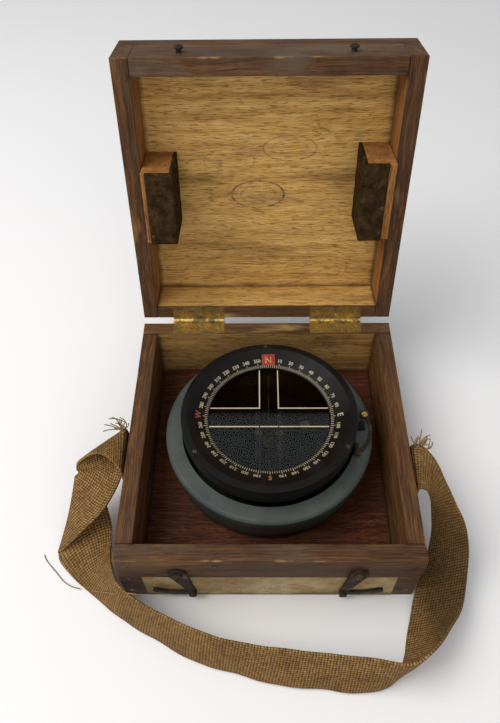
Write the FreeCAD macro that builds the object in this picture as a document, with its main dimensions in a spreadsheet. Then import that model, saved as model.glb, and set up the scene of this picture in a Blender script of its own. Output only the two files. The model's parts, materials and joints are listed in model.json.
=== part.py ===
import FreeCAD, Part
import Sketcher
import math
import os

# A magnetic compass with a turning grid ring, in its wooden carrying box: hinged lid held open, two
# swing hooks on the front, felt-faced hold-down blocks in the lid and a webbing strap on the sides.
# Millimetres. X to the right, Y to the back, Z up; the origin is the centre of the box's underside.

DIMENSIONS = [
    ("box_width", 216.0, "outside, side to side"),
    ("box_depth", 217.0, "outside, front to back"),
    ("board", 12.7, "thickness of every board"),
    ("base_height", 65.0, "lower box, floor to rim"),
    ("lid_height", 44.0, "lid, rim to top"),
    ("rim_gap", 0.3, "between the closed rims"),
    ("lid_open_angle", 101.4, "degrees, where the stop hinges hold the lid"),
    ("lid_joint_back", 22.5, "narrow rear board of the lid top"),
    ("edge_round", 0.8, "worn edges of the boards"),
    ("nail_shank", 1.1, "radius"),
    ("nail_head", 2.1, "radius"),
    ("nail_head_depth", 0.9, "thickness of a nail head"),
    ("nail_length", 30.0, "head to point"),
    ("top_nail_length", 26.0, "nails of the lid top"),
    ("short_nail_length", 8.0, "tacks and the spare nail, in the wood"),
    ("spare_nail_inset", 70.2, "spare nail from the left side"),
    ("spare_nail_drop", 9.7, "spare nail below the rim"),
    ("spare_nail_proud", 0.5, "head of the spare nail in front of the face"),
    ("pin_fit", 0.05, "radial clearance of nails, screws and pins"),
    ("move_gap", 0.3, "between pieces that move past each other"),
    ("cutter_over", 1.0, "how far a cutting shape runs past the face it cuts"),
    ("hinge_length", 45.0, "along the barrel"),
    ("hinge_left_inset", 48.5, "middle of the left hinge from the left side"),
    ("hinge_right_inset", 47.5, "middle of the right hinge from the right side"),
    ("leaf_width", 11.6, "on the rim"),
    ("leaf_thick", 1.2, "brass plate"),
    ("barrel_radius", 2.6, "hinge knuckles"),
    ("barrel_offset", 2.9, "barrel axis behind the back face"),
    ("hinge_pin_radius", 1.1, "hinge pin"),
    ("leaf_screw_pitch", 16.0, "between leaf screws"),
    ("leaf_screw_head", 2.9, "radius"),
    ("leaf_screw_shank", 1.4, "radius"),
    ("leaf_screw_length", 11.0, "whole length"),
    ("slot_width", 0.7, "screw slots"),
    ("slot_depth", 0.6, "screw slots"),
    ("hook_left_inset", 43.2, "pivot of the left hook from the left side"),
    ("hook_right_inset", 44.7, "pivot of the right hook from the right side"),
    ("hook_pivot_drop", 19.5, "hook pivots below the rim"),
    ("hook_stand_off", 0.45, "between front face and hook"),
    ("hook_thick", 2.0, "hook plate"),
    ("hook_eye", 6.5, "radius of the pivot end"),
    ("hook_reach", 33.5, "inner radius of the beak about the pivot"),
    ("hook_beak", 4.5, "width of the beak"),
    ("hook_root_angle", 14.0, "degrees from plumb to the hook's corner"),
    ("hook_tip_angle", 31.0, "degrees from plumb to the beak's tip"),
    ("hook_pivot_shank", 2.0, "radius"),
    ("hook_pivot_head", 4.0, "radius"),
    ("hook_pivot_depth", 9.0, "pivot screws and studs in the wood"),
    ("hook_pivot_rim", 0.8, "height of a pivot head's rim"),
    ("hook_pivot_dome", 1.2, "height of a pivot head's dome"),
    ("hook_knob", 2.9, "radius of the finger knob"),
    ("hook_knob_proud", 2.4, "finger knob in front of the hook"),
    ("stud_left_aside", 3.3, "left stud from its hook's pivot, to the middle"),
    ("stud_right_aside", 4.7, "right stud from its hook's pivot, to the middle"),
    ("stud_neck", 2.0, "radius"),
    ("stud_head", 3.3, "radius"),
    ("stud_rim", 1.1, "height of a stud head's rim"),
    ("stud_dome", 1.5, "height of a stud head's dome"),
    ("label_left_inset", 16.7, "paper label from the left side"),
    ("label_right_inset", 16.3, "paper label from the right side"),
    ("label_low", 0.5, "bottom of the label"),
    ("label_height", 35.0, "height of the label"),
    ("label_thick", 0.15, "pasted paper"),
    ("block_width", 22.3, "hold-down blocks, side to side"),
    ("block_left_length", 58.5, "left hold-down block"),
    ("block_right_length", 62.5, "right hold-down block"),
    ("block_left_back", 21.0, "back end of the left block behind the compass axis"),
    ("block_right_back", 18.5, "back end of the right block behind the compass axis"),
    ("block_below_rim", 9.5, "how far a block enters the lower box"),
    ("block_side_gap", 0.5, "between a block and the side wall"),
    ("felt_thick", 2.4, "felt facing"),
    ("felt_left_bare", 2.5, "bare wood beside the left felt"),
    ("felt_right_bare", 5.2, "bare wood beside the right felt"),
    ("tack_radius", 1.5, "felt tack head"),
    ("tack_head_depth", 0.5, "felt tack head"),
    ("compass_aside", 0.078125, "compass axis to the right, as a share of the spare width"),
    ("compass_behind", 0.526316, "compass axis to the back, as a share of the spare depth"),
    ("drum_ledge", 13.0, "width of the drum's shoulder"),
    ("drum_taper", 5.5, "how far the drum's foot stands in"),
    ("drum_foot_round", 3.0, "rounded foot"),
    ("drum_edge_round", 1.2, "rounded widest edge"),
    ("drum_height", 40.3, "floor to shoulder"),
    ("drum_side", 36.5, "floor to the drum's edge"),
    ("drum_wall", 1.6, "spun aluminium"),
    ("drum_mouth_gap", 2.0, "between the flange and the opening in the shoulder"),
    ("drum_base_thick", 2.0, "bottom plate"),
    ("pad_height", 9.3, "rubber mounts"),
    ("pad_radius", 7.0, "rubber mounts"),
    ("pad_inset", 14.0, "middle of a rubber mount from the bowl's outside"),
    ("mount_bolt", 2.0, "radius"),
    ("mount_bolt_depth", 2.5, "mount bolts in the bowl's floor"),
    ("bowl_radius", 56.0, "outside of the bowl"),
    ("bowl_wall", 4.5, "thickness"),
    ("bowl_round", 4.0, "bowl's lower edge"),
    ("bowl_floor", 4.0, "thickness"),
    ("bowl_height", 39.0, "under the bowl to its top face"),
    ("flange_step", 5.5, "bowl's rim flange beyond the bezel's foot"),
    ("flange_height", 7.5, "bowl's rim flange"),
    ("glass_seat", 3.7, "width of the seat under the sealed glass"),
    ("glass_thick", 2.7, "sealed bowl glass"),
    ("gasket_thick", 1.0, "under the glass"),
    ("plug_inset", 20.0, "filler plug from the bowl's outside"),
    ("plug_radius", 4.0, "filler plug"),
    ("plug_head", 5.5, "radius"),
    ("plug_head_thick", 1.8, "filler plug"),
    ("bezel_lap", 2.6, "bezel over the sealed glass"),
    ("bezel_width", 9.4, "bezel's foot"),
    ("bezel_lip", 2.0, "overhang that keeps the ring down"),
    ("bezel_foot", 2.0, "height under the lip"),
    ("bezel_height", 4.0, "whole height"),
    ("bezel_screw_head", 2.0, "radius"),
    ("bezel_screw_shank", 1.0, "radius"),
    ("bezel_screw_sink", 1.4, "height of the head"),
    ("bezel_screw_depth", 5.0, "bezel screws in the flange"),
    ("bezel_screw_out", 1.2, "bezel screws beyond the middle of the foot"),
    ("ring_wall", 4.5, "turning ring outside the bezel's lip"),
    ("skirt_height", 7.7, "turning ring's skirt"),
    ("scale_height", 4.0, "flat band above the skirt"),
    ("scale_band", 5.3, "width of the flat band"),
    ("scale_width", 15.5, "sloping scale, seen from above"),
    ("scale_drop", 6.6, "fall of the sloping scale"),
    ("ring_round", 0.6, "edges of the turning ring"),
    ("cover_glass_lap", 1.9, "glass in the turning ring beyond the window"),
    ("cover_glass_thick", 1.9, "glass in the turning ring"),
    ("window_lip", 1.5, "height of the window's upright edge"),
    ("rebate_wall", 2.0, "around the turning ring's glass"),
    ("scale_clearance", 1.0, "scale above the bezel"),
    ("scale_lap", 2.0, "scale's underside inside the bezel's lip"),
    ("grid_line", 0.9, "width of a grid line"),
    ("grid_line_high", 0.35, "height of a grid line"),
    ("grid_lane", 7.5, "half the lane between the upright lines"),
    ("grid_upper", 9.0, "upper cross line from the axis"),
    ("grid_lower", 8.3, "lower cross line from the axis"),
    ("grid_end_gap", 1.4, "grid lines short of the window's edge"),
    ("north_mark_half", 5.4, "half width of the north mark"),
    ("north_mark_inner", 2.6, "north mark from the window's edge"),
    ("north_mark_outer", 4.5, "north mark from the flat band"),
    ("north_mark_thick", 0.35, "paint and plate"),
    ("ring_screw_inset", 2.6, "small screws from the ring's outside"),
    ("ring_screw_head", 1.7, "radius"),
    ("ring_screw_shank", 0.9, "radius"),
    ("ring_screw_sink", 0.8, "height of the countersink"),
    ("ring_screw_length", 8.0, "whole length"),
    ("capsule_radius", 23.0, "folds of the expansion capsule"),
    ("capsule_fold", 3.0, "depth of a fold"),
    ("capsule_pitch", 2.0, "height of a fold"),
    ("capsule_end", 1.0, "flat end of the capsule"),
    ("post_radius", 4.0, "pivot post"),
    ("post_height", 12.0, "pivot post"),
    ("cup_radius", 3.0, "jewel cup"),
    ("cup_height", 3.0, "jewel cup"),
    ("cup_mouth", 1.8, "radius of the jewel's hollow"),
    ("cup_depth", 1.4, "depth of the jewel's hollow"),
    ("tip_gap", 0.15, "between pivot and jewel"),
    ("pin_radius", 0.8, "pivot pin"),
    ("pin_point", 1.0, "height of the pivot's point"),
    ("pin_in_hub", 2.0, "pivot pin in the hub"),
    ("hub_rise", 2.2, "hub above the jewel cup"),
    ("hub_height", 4.5, "hub"),
    ("hub_radius", 6.0, "hub"),
    ("hub_top", 3.5, "radius of the hub's top"),
    ("hub_round", 1.0, "hub's lower edge"),
    ("hub_side", 2.0, "upright side of the hub"),
    ("wire_radius", 0.4, "damping wires"),
    ("wire_rise", 2.0, "damping wires above the hub's foot"),
    ("wire_in_hub", 1.5, "damping wires in the hub"),
    ("wire_gap", 9.5, "between a damping wire and the bowl's wall"),
    ("carrier_thick", 1.2, "bar that carries the magnets"),
    ("carrier_half", 2.0, "half the bar's width"),
    ("carrier_end", 2.5, "bar beyond a magnet's middle"),
    ("lubber_radius", 0.5, "lubber wire"),
    ("lubber_reach", 7.0, "lubber wire from the bowl's wall"),
    ("lubber_arm_drop", 6.0, "lubber arm below the gasket"),
    ("lubber_length", 9.0, "upright part"),
    ("lubber_overlap", 1.0, "upright part above the arm"),
    ("magnet_radius", 1.8, "bar magnets"),
    ("magnet_length", 44.0, "bar magnets"),
    ("magnet_side", 9.0, "bar magnets from the axis"),
    ("lever_inset", 5.0, "lock lever pivot from the drum's right edge"),
    ("lever_behind", 11.0, "lock lever pivot behind the compass axis"),
    ("lever_thick", 1.5, "lock lever plate"),
    ("lever_lift", 0.9, "washer under the lever"),
    ("lever_band", 2.6, "width of the lever's bow"),
    ("lever_eye", 4.0, "radius of the lever's pivot end"),
    ("lever_end", 3.0, "radius of the lever's brake end"),
    ("lever_end_out", 1.8, "middle of the brake end beyond the pin"),
    ("lever_crown_inset", 2.2, "bow's middle from the drum's right edge"),
    ("lever_crown_front", 6.5, "bow's middle in front of the compass axis"),
    ("lever_screw_shank", 1.5, "radius"),
    ("lever_screw_head", 2.6, "radius"),
    ("lever_screw_sink", 0.9, "height of the head"),
    ("lever_screw_play", 0.2, "head smaller than its countersink"),
    ("washer_radius", 3.2, "under the lever"),
    ("brake_angle", -20.0, "degrees, where the brake pin meets the ring"),
    ("brake_round", 0.6, "brake pin's rounded end"),
    ("brake_point", 1.0, "height of the rounded end"),
    ("brake_radius", 1.6, "brake pin at the lever's end"),
    ("brake_height", 14.0, "brake pin"),
    ("stop_gap", 1.5, "lever stop from the drum's mouth"),
    ("stop_width", 5.5, "lever stop"),
    ("stop_front", 3.0, "lever stop in front of the compass axis"),
    ("stop_length", 7.5, "lever stop"),
    ("stop_height", 2.2, "lever stop"),
    ("strap_thick", 2.0, "webbing"),
    ("strap_width", 38.0, "webbing"),
    ("strap_off", 0.6, "webbing clear of the box side"),
    ("strap_left_front", 91.0, "middle of the left tab from the box's front"),
    ("strap_right_front", 77.5, "middle of the right tab from the box's front"),
    ("strap_tab_low", 41.0, "lower end of the tabs below the rim"),
    ("strap_tab_high", 12.0, "upper end of the tabs below the rim"),
    ("strap_tack_low", 35.0, "lower tacks below the rim"),
    ("strap_tack_high", 21.0, "upper tacks below the rim"),
    ("strap_tack_step", 12.0, "tacks from the strap's middle"),
    ("strap_tack_head", 3.5, "radius"),
    ("strap_tack_thick", 0.7, "head"),
    ("drawn_half_width", 109.6, "strap middle from the axis where its loop was drawn"),
    ("drawn_half_depth", 108.5, "half the box's depth where the loop was drawn"),
]

document = FreeCAD.newDocument("compass_in_box")
sheet = document.addObject("Spreadsheet::Sheet", "Sizes")


class Size:
    """A number together with the spreadsheet expression that gives it."""

    def __init__(self, value, text):
        self.value = value
        self.text = text

    def __add__(self, other):
        other = as_size(other)
        return Size(self.value + other.value, f"({self.text} + {other.text})")

    def __sub__(self, other):
        other = as_size(other)
        return Size(self.value - other.value, f"({self.text} - {other.text})")

    def __mul__(self, other):
        other = as_size(other)
        return Size(self.value * other.value, f"({self.text} * {other.text})")

    def __truediv__(self, other):
        other = as_size(other)
        return Size(self.value / other.value, f"({self.text} / {other.text})")

    def __neg__(self):
        return Size(-self.value, f"(0 - {self.text})")

    __radd__ = __add__

    def __rsub__(self, other):
        return as_size(other) - self

    __rmul__ = __mul__

    def root(self):
        return Size(math.sqrt(self.value), f"sqrt({self.text})")


def as_size(number):
    if isinstance(number, Size):
        return number
    return Size(float(number), f"({float(number):.6f})")


SIZE = {}
for row, (alias, value, meaning) in enumerate(DIMENSIONS, start=1):
    sheet.set(f"A{row}", alias)
    sheet.set(f"B{row}", str(value))
    sheet.set(f"C{row}", meaning)
    sheet.setAlias(f"B{row}", alias)
    SIZE[alias] = Size(value, f"Sizes.{alias}")
document.recompute()

TURN = {
    "+Z": FreeCAD.Rotation(),
    "-Z": FreeCAD.Rotation(FreeCAD.Vector(1, 0, 0), 180),
    "+X": FreeCAD.Rotation(FreeCAD.Vector(0, 1, 0), 90),
    "-X": FreeCAD.Rotation(FreeCAD.Vector(0, 1, 0), -90),
    "+Y": FreeCAD.Rotation(FreeCAD.Vector(1, 0, 0), -90),
    "-Y": FreeCAD.Rotation(FreeCAD.Vector(1, 0, 0), 90),
}
parts = {}


def bind(thing, **properties):
    """Tie each property to its expression; a double underscore in a name stands for a dot."""
    for name, size in properties.items():
        thing.setExpression(name.replace("__", "."), as_size(size).text)


def put(thing, x, y, z):
    bind(thing, Placement__Base__x=x, Placement__Base__y=y, Placement__Base__z=z)
    return thing


def block(name, low, high):
    """A rectangular block from its low corner to its high corner."""
    box = document.addObject("Part::Box", name)
    bind(box, Length=high[0] - low[0], Width=high[1] - low[1], Height=high[2] - low[2])
    return put(box, *low)


def rod(name, foot, radius, length, direction="+Z"):
    """A cylinder that starts at foot and runs in a direction."""
    cylinder = document.addObject("Part::Cylinder", name)
    cylinder.Placement = FreeCAD.Placement(FreeCAD.Vector(), TURN[direction])
    bind(cylinder, Radius=radius, Height=length)
    return put(cylinder, *foot)


def cone(name, foot, radius, end_radius, length, direction="+Z"):
    taper = document.addObject("Part::Cone", name)
    taper.Placement = FreeCAD.Placement(FreeCAD.Vector(), TURN[direction])
    bind(taper, Radius1=radius, Radius2=end_radius, Height=length)
    return put(taper, *foot)


def joined(name, shapes):
    whole = document.addObject("Part::MultiFuse", name)
    whole.Shapes = shapes
    return whole


def cut(name, solid, tools):
    rest = document.addObject("Part::Cut", name)
    rest.Base = solid
    rest.Tool = tools[0] if len(tools) == 1 else joined(name + "_tools", tools)
    return rest


def group(name, shapes):
    """Loose solids of one kind, kept apart in one sub-part."""
    together = document.addObject("Part::Compound", name)
    together.Links = shapes
    return together


def rounded(name, solid, radius):
    """Round every edge of a solid."""
    document.recompute()
    fillet = document.addObject("Part::Fillet", name)
    fillet.Base = solid
    count = len(solid.Shape.Edges)
    fillet.Edges = [(edge + 1, radius.value, radius.value) for edge in range(count)]
    return fillet


def keep(label, thing):
    """Enter a finished sub-part, which takes the label as its file name."""
    thing.Label = label
    parts[label] = thing
    return thing


def origin_plane(body, role):
    return next(item for item in body.Origin.OriginFeatures if item.Role == role)


def outline(body, name, points, role):
    """A closed sketch of straight lines whose corners are held by their own sizes."""
    sketch = body.newObject("Sketcher::SketchObject", name)
    sketch.AttachmentSupport = (origin_plane(body, role), [""])
    sketch.MapMode = "FlatFace"
    corners = [FreeCAD.Vector(as_size(a).value, as_size(b).value, 0) for a, b in points]
    count = len(points)
    for index in range(count):
        sketch.addGeometry(Part.LineSegment(corners[index], corners[(index + 1) % count]), False)
    for index in range(count):
        sketch.addConstraint(Sketcher.Constraint("Coincident", index, 2, (index + 1) % count, 1))
    for index, pair in enumerate(points):
        for kind, size in zip(("DistanceX", "DistanceY"), pair):
            size = as_size(size)
            if size.value == 0:
                twin = "PointOnObject"
                axis = -2 if kind == "DistanceX" else -1
                sketch.addConstraint(Sketcher.Constraint(twin, index, 1, axis))
                continue
            number = sketch.addConstraint(
                Sketcher.Constraint(kind, -1, 1, index, 1, size.value)
            )
            sketch.setExpression(f"Constraints[{number}]", size.text)
    return sketch


def turned(name, points, x, y):
    """A solid of revolution about an upright axis at x, y from its (radius, height) outline."""
    body = document.addObject("PartDesign::Body", name)
    sketch = outline(body, name + "_outline", points, "XZ_Plane")
    turning = body.newObject("PartDesign::Revolution", name + "_turning")
    turning.Profile = sketch
    turning.ReferenceAxis = (sketch, ["V_Axis"])
    turning.Angle = 360
    sketch.Visibility = False
    return put(body, x, y, 0)


def on_circle(radius, degrees):
    """A point of the compass at a radius and an angle from the right."""
    x = COMPASS_X + radius * math.cos(math.radians(degrees))
    y = COMPASS_Y + radius * math.sin(math.radians(degrees))
    return x, y


# ---- the lower box ----------------------------------------------------------------------------
HALF_WIDTH = SIZE["box_width"] / 2
HALF_DEPTH = SIZE["box_depth"] / 2
BOARD = SIZE["board"]
BASE_TOP = SIZE["base_height"]
INNER_WIDTH = HALF_WIDTH - BOARD
INNER_DEPTH = HALF_DEPTH - BOARD
LID_RIM = BASE_TOP + SIZE["rim_gap"]
LID_TOP = LID_RIM + SIZE["lid_height"]
LID_CEILING = LID_TOP - BOARD
HINGE_Y = HALF_DEPTH + SIZE["barrel_offset"]
HINGE_Z = BASE_TOP + SIZE["rim_gap"] / 2
FIT = SIZE["pin_fit"]
GAP = SIZE["move_gap"]
LOOSE = SIZE["cutter_over"]
NO_PLAY = as_size(0.0)

# ---- the compass's radii, from the bowl outwards ------------------------------------------------
BORE = SIZE["bowl_radius"] - SIZE["bowl_wall"]
GLASS_RADIUS = BORE + SIZE["glass_seat"]
BEZEL_INNER = GLASS_RADIUS - SIZE["bezel_lap"]
BEZEL_OUTER = BEZEL_INNER + SIZE["bezel_width"]
LIP = BEZEL_OUTER + SIZE["bezel_lip"]
FLANGE = BEZEL_OUTER + SIZE["flange_step"]
RING = LIP + GAP + SIZE["ring_wall"]
CONE_OUTER = RING - SIZE["scale_band"]
WINDOW = CONE_OUTER - SIZE["scale_width"]
COVER_RADIUS = WINDOW + SIZE["cover_glass_lap"]
MOUTH = FLANGE + SIZE["drum_mouth_gap"]
DRUM = MOUTH + SIZE["drum_ledge"]
FOOT = DRUM - SIZE["drum_taper"]
COMPASS_X = (INNER_WIDTH - DRUM) * SIZE["compass_aside"]
COMPASS_Y = (INNER_DEPTH - DRUM) * SIZE["compass_behind"]


def lid_opened(thing):
    """Swing a piece modelled with the lid closed to where the open lid holds it."""
    axis = FreeCAD.Vector(0, HINGE_Y.value, HINGE_Z.value)
    turn = FreeCAD.Rotation(FreeCAD.Vector(1, 0, 0), -SIZE["lid_open_angle"].value)
    swing = FreeCAD.Placement(FreeCAD.Vector(), turn, axis)
    thing.Placement = swing.multiply(thing.Placement)
    return thing


def nail(name, head, direction, clearance=NO_PLAY, length=SIZE["nail_length"]):
    """A wire nail with its head flush; with a clearance it is the hole for one."""
    shank = rod(name + "_shank", head, SIZE["nail_shank"] + clearance, length + clearance, direction)
    top = rod(name + "_head", head, SIZE["nail_head"] + clearance,
              SIZE["nail_head_depth"] + clearance, direction)
    return joined(name, [shank, top])


def nailed_board(label, low, high, nails):
    """A board with rounded edges and a hole for each nail that reaches it."""
    board = rounded(label + "_board", block(label + "_blank", low, high), SIZE["edge_round"])
    holes = [nail(f"{label}_hole_{number}", *place, clearance=FIT)
             for number, place in enumerate(nails)]
    return cut(label + "_cut", board, holes)


NAIL_ROWS = [0.16, 0.5, 0.84]
corner_nails = []
for side in (-1, 1):
    for share in NAIL_ROWS:
        x = side * (HALF_WIDTH - BOARD / 2)
        corner_nails.append(((x, -HALF_DEPTH, BASE_TOP * share), "+Y"))
        corner_nails.append(((x, HALF_DEPTH, BASE_TOP * share), "-Y"))
bottom_nails = []
for share in (-0.6, -0.2, 0.2, 0.6):
    bottom_nails.append(((HALF_WIDTH * share, -HALF_DEPTH, BOARD / 2), "+Y"))
    bottom_nails.append(((HALF_WIDTH * share, HALF_DEPTH, BOARD / 2), "-Y"))


def facing(nails, direction):
    return [place for place in nails if place[1] == direction]


def at_side(nails, side):
    return [place for place in nails if place[0][0].value * side > 0]


def leaf_screws(middle):
    """Where the three screws of a hinge leaf stand along X."""
    return [middle - SIZE["leaf_screw_pitch"], middle, middle + SIZE["leaf_screw_pitch"]]


HINGES = {"left": SIZE["hinge_left_inset"] - HALF_WIDTH,
          "right": HALF_WIDTH - SIZE["hinge_right_inset"]}
LEAF_Y = HALF_DEPTH - SIZE["leaf_width"] / 2


def wood_screw(name, x, top, direction, clearance):
    """A countersunk screw of a hinge leaf; with a clearance it is the hole for one."""
    head = SIZE["leaf_screw_head"] + clearance
    shank = SIZE["leaf_screw_shank"] + clearance
    sink = cone(name + "_head", (x, LEAF_Y, top), head, shank,
                SIZE["leaf_screw_head"] - SIZE["leaf_screw_shank"], direction)
    stem = rod(name + "_shank", (x, LEAF_Y, top), shank,
               SIZE["leaf_screw_length"] + clearance, direction)
    return joined(name, [sink, stem])


def slotted(name, screw, centre, radius, direction, degrees):
    """A screw with a slot across its head, whose outer face lies at centre and looks along direction."""
    slot = document.addObject("Part::Box", name + "_slot")
    half = SIZE["slot_width"] / 2
    bind(slot, Length=radius * 2.2, Width=SIZE["slot_width"], Height=SIZE["slot_depth"] * 2)
    inwards = FreeCAD.Vector(-radius.value * 1.1, -half.value, -SIZE["slot_depth"].value)
    spin = TURN[direction].multiply(FreeCAD.Rotation(FreeCAD.Vector(0, 0, 1), degrees))
    corner = spin.multVec(inwards)
    slot.Placement = FreeCAD.Placement(FreeCAD.Vector(), spin)
    put(slot, centre[0] + corner.x, centre[1] + corner.y, centre[2] + corner.z)
    return cut(name, screw, [slot])


def leaf_recess(name, middle, low, high):
    """The mortise in a rim that a hinge leaf lies in."""
    half = SIZE["hinge_length"] / 2 + FIT
    return block(name, (middle - half, HALF_DEPTH - SIZE["leaf_width"] - FIT, low),
                 (middle + half, HALF_DEPTH + LOOSE, high))


HOOKS = {"left": (SIZE["hook_left_inset"] - HALF_WIDTH, 1),
         "right": (HALF_WIDTH - SIZE["hook_right_inset"], -1)}
PIVOT_Z = BASE_TOP - SIZE["hook_pivot_drop"]
PIVOT_DEPTH = SIZE["hook_pivot_depth"]
front_nails = facing(corner_nails, "+Y") + facing(bottom_nails, "+Y")
back_nails = facing(corner_nails, "-Y") + facing(bottom_nails, "-Y")
SPARE_NAIL = (SIZE["spare_nail_inset"] - HALF_WIDTH, -HALF_DEPTH,
              BASE_TOP - SIZE["spare_nail_drop"])

front = nailed_board("base_front_board", (-HALF_WIDTH, -HALF_DEPTH, as_size(0)),
                     (HALF_WIDTH, -INNER_DEPTH, BASE_TOP), front_nails)
pivot_holes = [rod(f"pivot_hole_{side}", (x, -HALF_DEPTH, PIVOT_Z),
                   SIZE["hook_pivot_shank"] + FIT, PIVOT_DEPTH + FIT, "+Y")
               for side, (x, way) in HOOKS.items()]
spare_hole = rod("spare_nail_hole", SPARE_NAIL, SIZE["nail_shank"] + FIT,
                 SIZE["short_nail_length"] + FIT, "+Y")
keep("base_front_board", cut("front_board_finished", front, pivot_holes + [spare_hole]))

back = nailed_board("base_back_board", (-HALF_WIDTH, INNER_DEPTH, as_size(0)),
                    (HALF_WIDTH, HALF_DEPTH, BASE_TOP), back_nails)
back_cuts = []
for side, middle in HINGES.items():
    back_cuts.append(leaf_recess(f"base_recess_{side}", middle,
                                 BASE_TOP - SIZE["leaf_thick"], BASE_TOP + LOOSE))
    for number, x in enumerate(leaf_screws(middle)):
        back_cuts.append(wood_screw(f"base_screw_hole_{side}_{number}", x, BASE_TOP, "-Z", FIT))
keep("base_back_board", cut("back_board_finished", back, back_cuts))

STRAP_MIDDLE = {"left": SIZE["strap_left_front"] - HALF_DEPTH,
                "right": SIZE["strap_right_front"] - HALF_DEPTH}


def strap_tacks(side):
    """Where the strap's tacks enter the box side."""
    places = []
    for drop in (SIZE["strap_tack_low"], SIZE["strap_tack_high"]):
        for step in (-SIZE["strap_tack_step"], SIZE["strap_tack_step"]):
            places.append((STRAP_MIDDLE[side] + step, BASE_TOP - drop))
    return places


for side, way in (("left", -1), ("right", 1)):
    inner, outer = way * INNER_WIDTH, way * HALF_WIDTH
    low_x, high_x = (outer, inner) if way < 0 else (inner, outer)
    wall = nailed_board(f"base_{side}_board", (low_x, -INNER_DEPTH, as_size(0)),
                        (high_x, INNER_DEPTH, BASE_TOP), at_side(corner_nails, way))
    inward = "+X" if way < 0 else "-X"
    holes = [rod(f"tack_hole_{side}_{number}", (outer, y, z), SIZE["nail_shank"] + FIT,
                 SIZE["short_nail_length"] + FIT, inward)
             for number, (y, z) in enumerate(strap_tacks(side))]
    keep(f"base_{side}_board", cut(f"{side}_board_finished", wall, holes))

keep("base_bottom_board",
     nailed_board("base_bottom_board", (-INNER_WIDTH, -INNER_DEPTH, as_size(0)),
                  (INNER_WIDTH, INNER_DEPTH, BOARD), bottom_nails))

box_nails = [nail(f"box_nail_{number}", *place)
             for number, place in enumerate(corner_nails + bottom_nails)]
spare = joined("spare_nail", [
    rod("spare_nail_shank", SPARE_NAIL, SIZE["nail_shank"], SIZE["short_nail_length"], "+Y"),
    rod("spare_nail_head", SPARE_NAIL, SIZE["nail_head"], SIZE["spare_nail_proud"], "-Y"),
])
keep("box_nails", group("box_nail_group", box_nails + [spare]))

keep("paper_label", block("label", (SIZE["label_left_inset"] - HALF_WIDTH,
                                    -HALF_DEPTH - SIZE["label_thick"], SIZE["label_low"]),
                          (HALF_WIDTH - SIZE["label_right_inset"], -HALF_DEPTH,
                           SIZE["label_low"] + SIZE["label_height"])))

# ---- the lid, modelled closed and then swung open ---------------------------------------------
lid_side_nails = []
for side, inward in ((-1, "+X"), (1, "-X")):
    for share in (0.32, 0.58):
        height = LID_RIM + SIZE["lid_height"] * share
        for end in (-1, 1):
            y = end * (HALF_DEPTH - BOARD / 2)
            lid_side_nails.append(((side * HALF_WIDTH, y, height), inward))
lid_top_nails = []
for share in (-0.66, -0.22, 0.22, 0.66):
    for y in (-HALF_DEPTH + BOARD / 2, HALF_DEPTH - BOARD / 2):
        lid_top_nails.append(((HALF_WIDTH * share, y, LID_TOP), "-Z"))
for share in (-0.5, 0.0, 0.5):
    for side in (-1, 1):
        lid_top_nails.append(((side * (HALF_WIDTH - BOARD / 2), HALF_DEPTH * share, LID_TOP), "-Z"))


def top_holes(label, chosen):
    return [nail(f"{label}_top_hole_{number}", *place, clearance=FIT,
                 length=SIZE["top_nail_length"]) for number, place in enumerate(chosen)]


def lid_board(label, low, high, side_nails, top_nails, extra=()):
    board = nailed_board(label, low, high, side_nails) if side_nails else \
        rounded(label + "_board", block(label + "_blank", low, high), SIZE["edge_round"])
    done = cut(label + "_finished", board, top_holes(label, top_nails) + list(extra))
    keep(label, lid_opened(done))


def nails_between(nails, low_y, high_y):
    return [place for place in nails if low_y.value < place[0][1].value < high_y.value]


def nails_inside(nails, half_width):
    return [place for place in nails if abs(place[0][0].value) < half_width.value]


def nails_outside(nails, half_width):
    return [place for place in nails if abs(place[0][0].value) > half_width.value]


# a stud stands where the beak closes round its neck once the hook has swung up
STUD_REACH = SIZE["hook_reach"] - SIZE["stud_neck"] - GAP
STUDS = {}
for side, (x, way) in HOOKS.items():
    aside = SIZE[f"stud_{side}_aside"]
    STUDS[side] = (x + way * aside, PIVOT_Z + (STUD_REACH * STUD_REACH - aside * aside).root())
stud_holes = [rod(f"stud_hole_{side}", (x, -HALF_DEPTH, z), SIZE["stud_neck"] + FIT,
                  PIVOT_DEPTH + FIT, "+Y") for side, (x, z) in STUDS.items()]
end_top_nails = nails_inside(lid_top_nails, INNER_WIDTH)
front_side_nails = nails_between(lid_side_nails, -HALF_DEPTH, -INNER_DEPTH)
lid_board("lid_front_rail", (-INNER_WIDTH, -HALF_DEPTH, LID_RIM),
          (INNER_WIDTH, -INNER_DEPTH, LID_CEILING), front_side_nails,
          nails_between(end_top_nails, -HALF_DEPTH, -INNER_DEPTH), stud_holes)

rail_cuts = []
for side, middle in HINGES.items():
    rail_cuts.append(leaf_recess(f"lid_recess_{side}", middle, LID_RIM - LOOSE,
                                 LID_RIM + SIZE["leaf_thick"]))
    for number, x in enumerate(leaf_screws(middle)):
        rail_cuts.append(wood_screw(f"lid_screw_hole_{side}_{number}", x, LID_RIM, "+Z", FIT))
lid_board("lid_back_rail", (-INNER_WIDTH, INNER_DEPTH, LID_RIM),
          (INNER_WIDTH, HALF_DEPTH, LID_CEILING),
          nails_between(lid_side_nails, INNER_DEPTH, HALF_DEPTH),
          nails_between(end_top_nails, INNER_DEPTH, HALF_DEPTH), rail_cuts)

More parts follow.
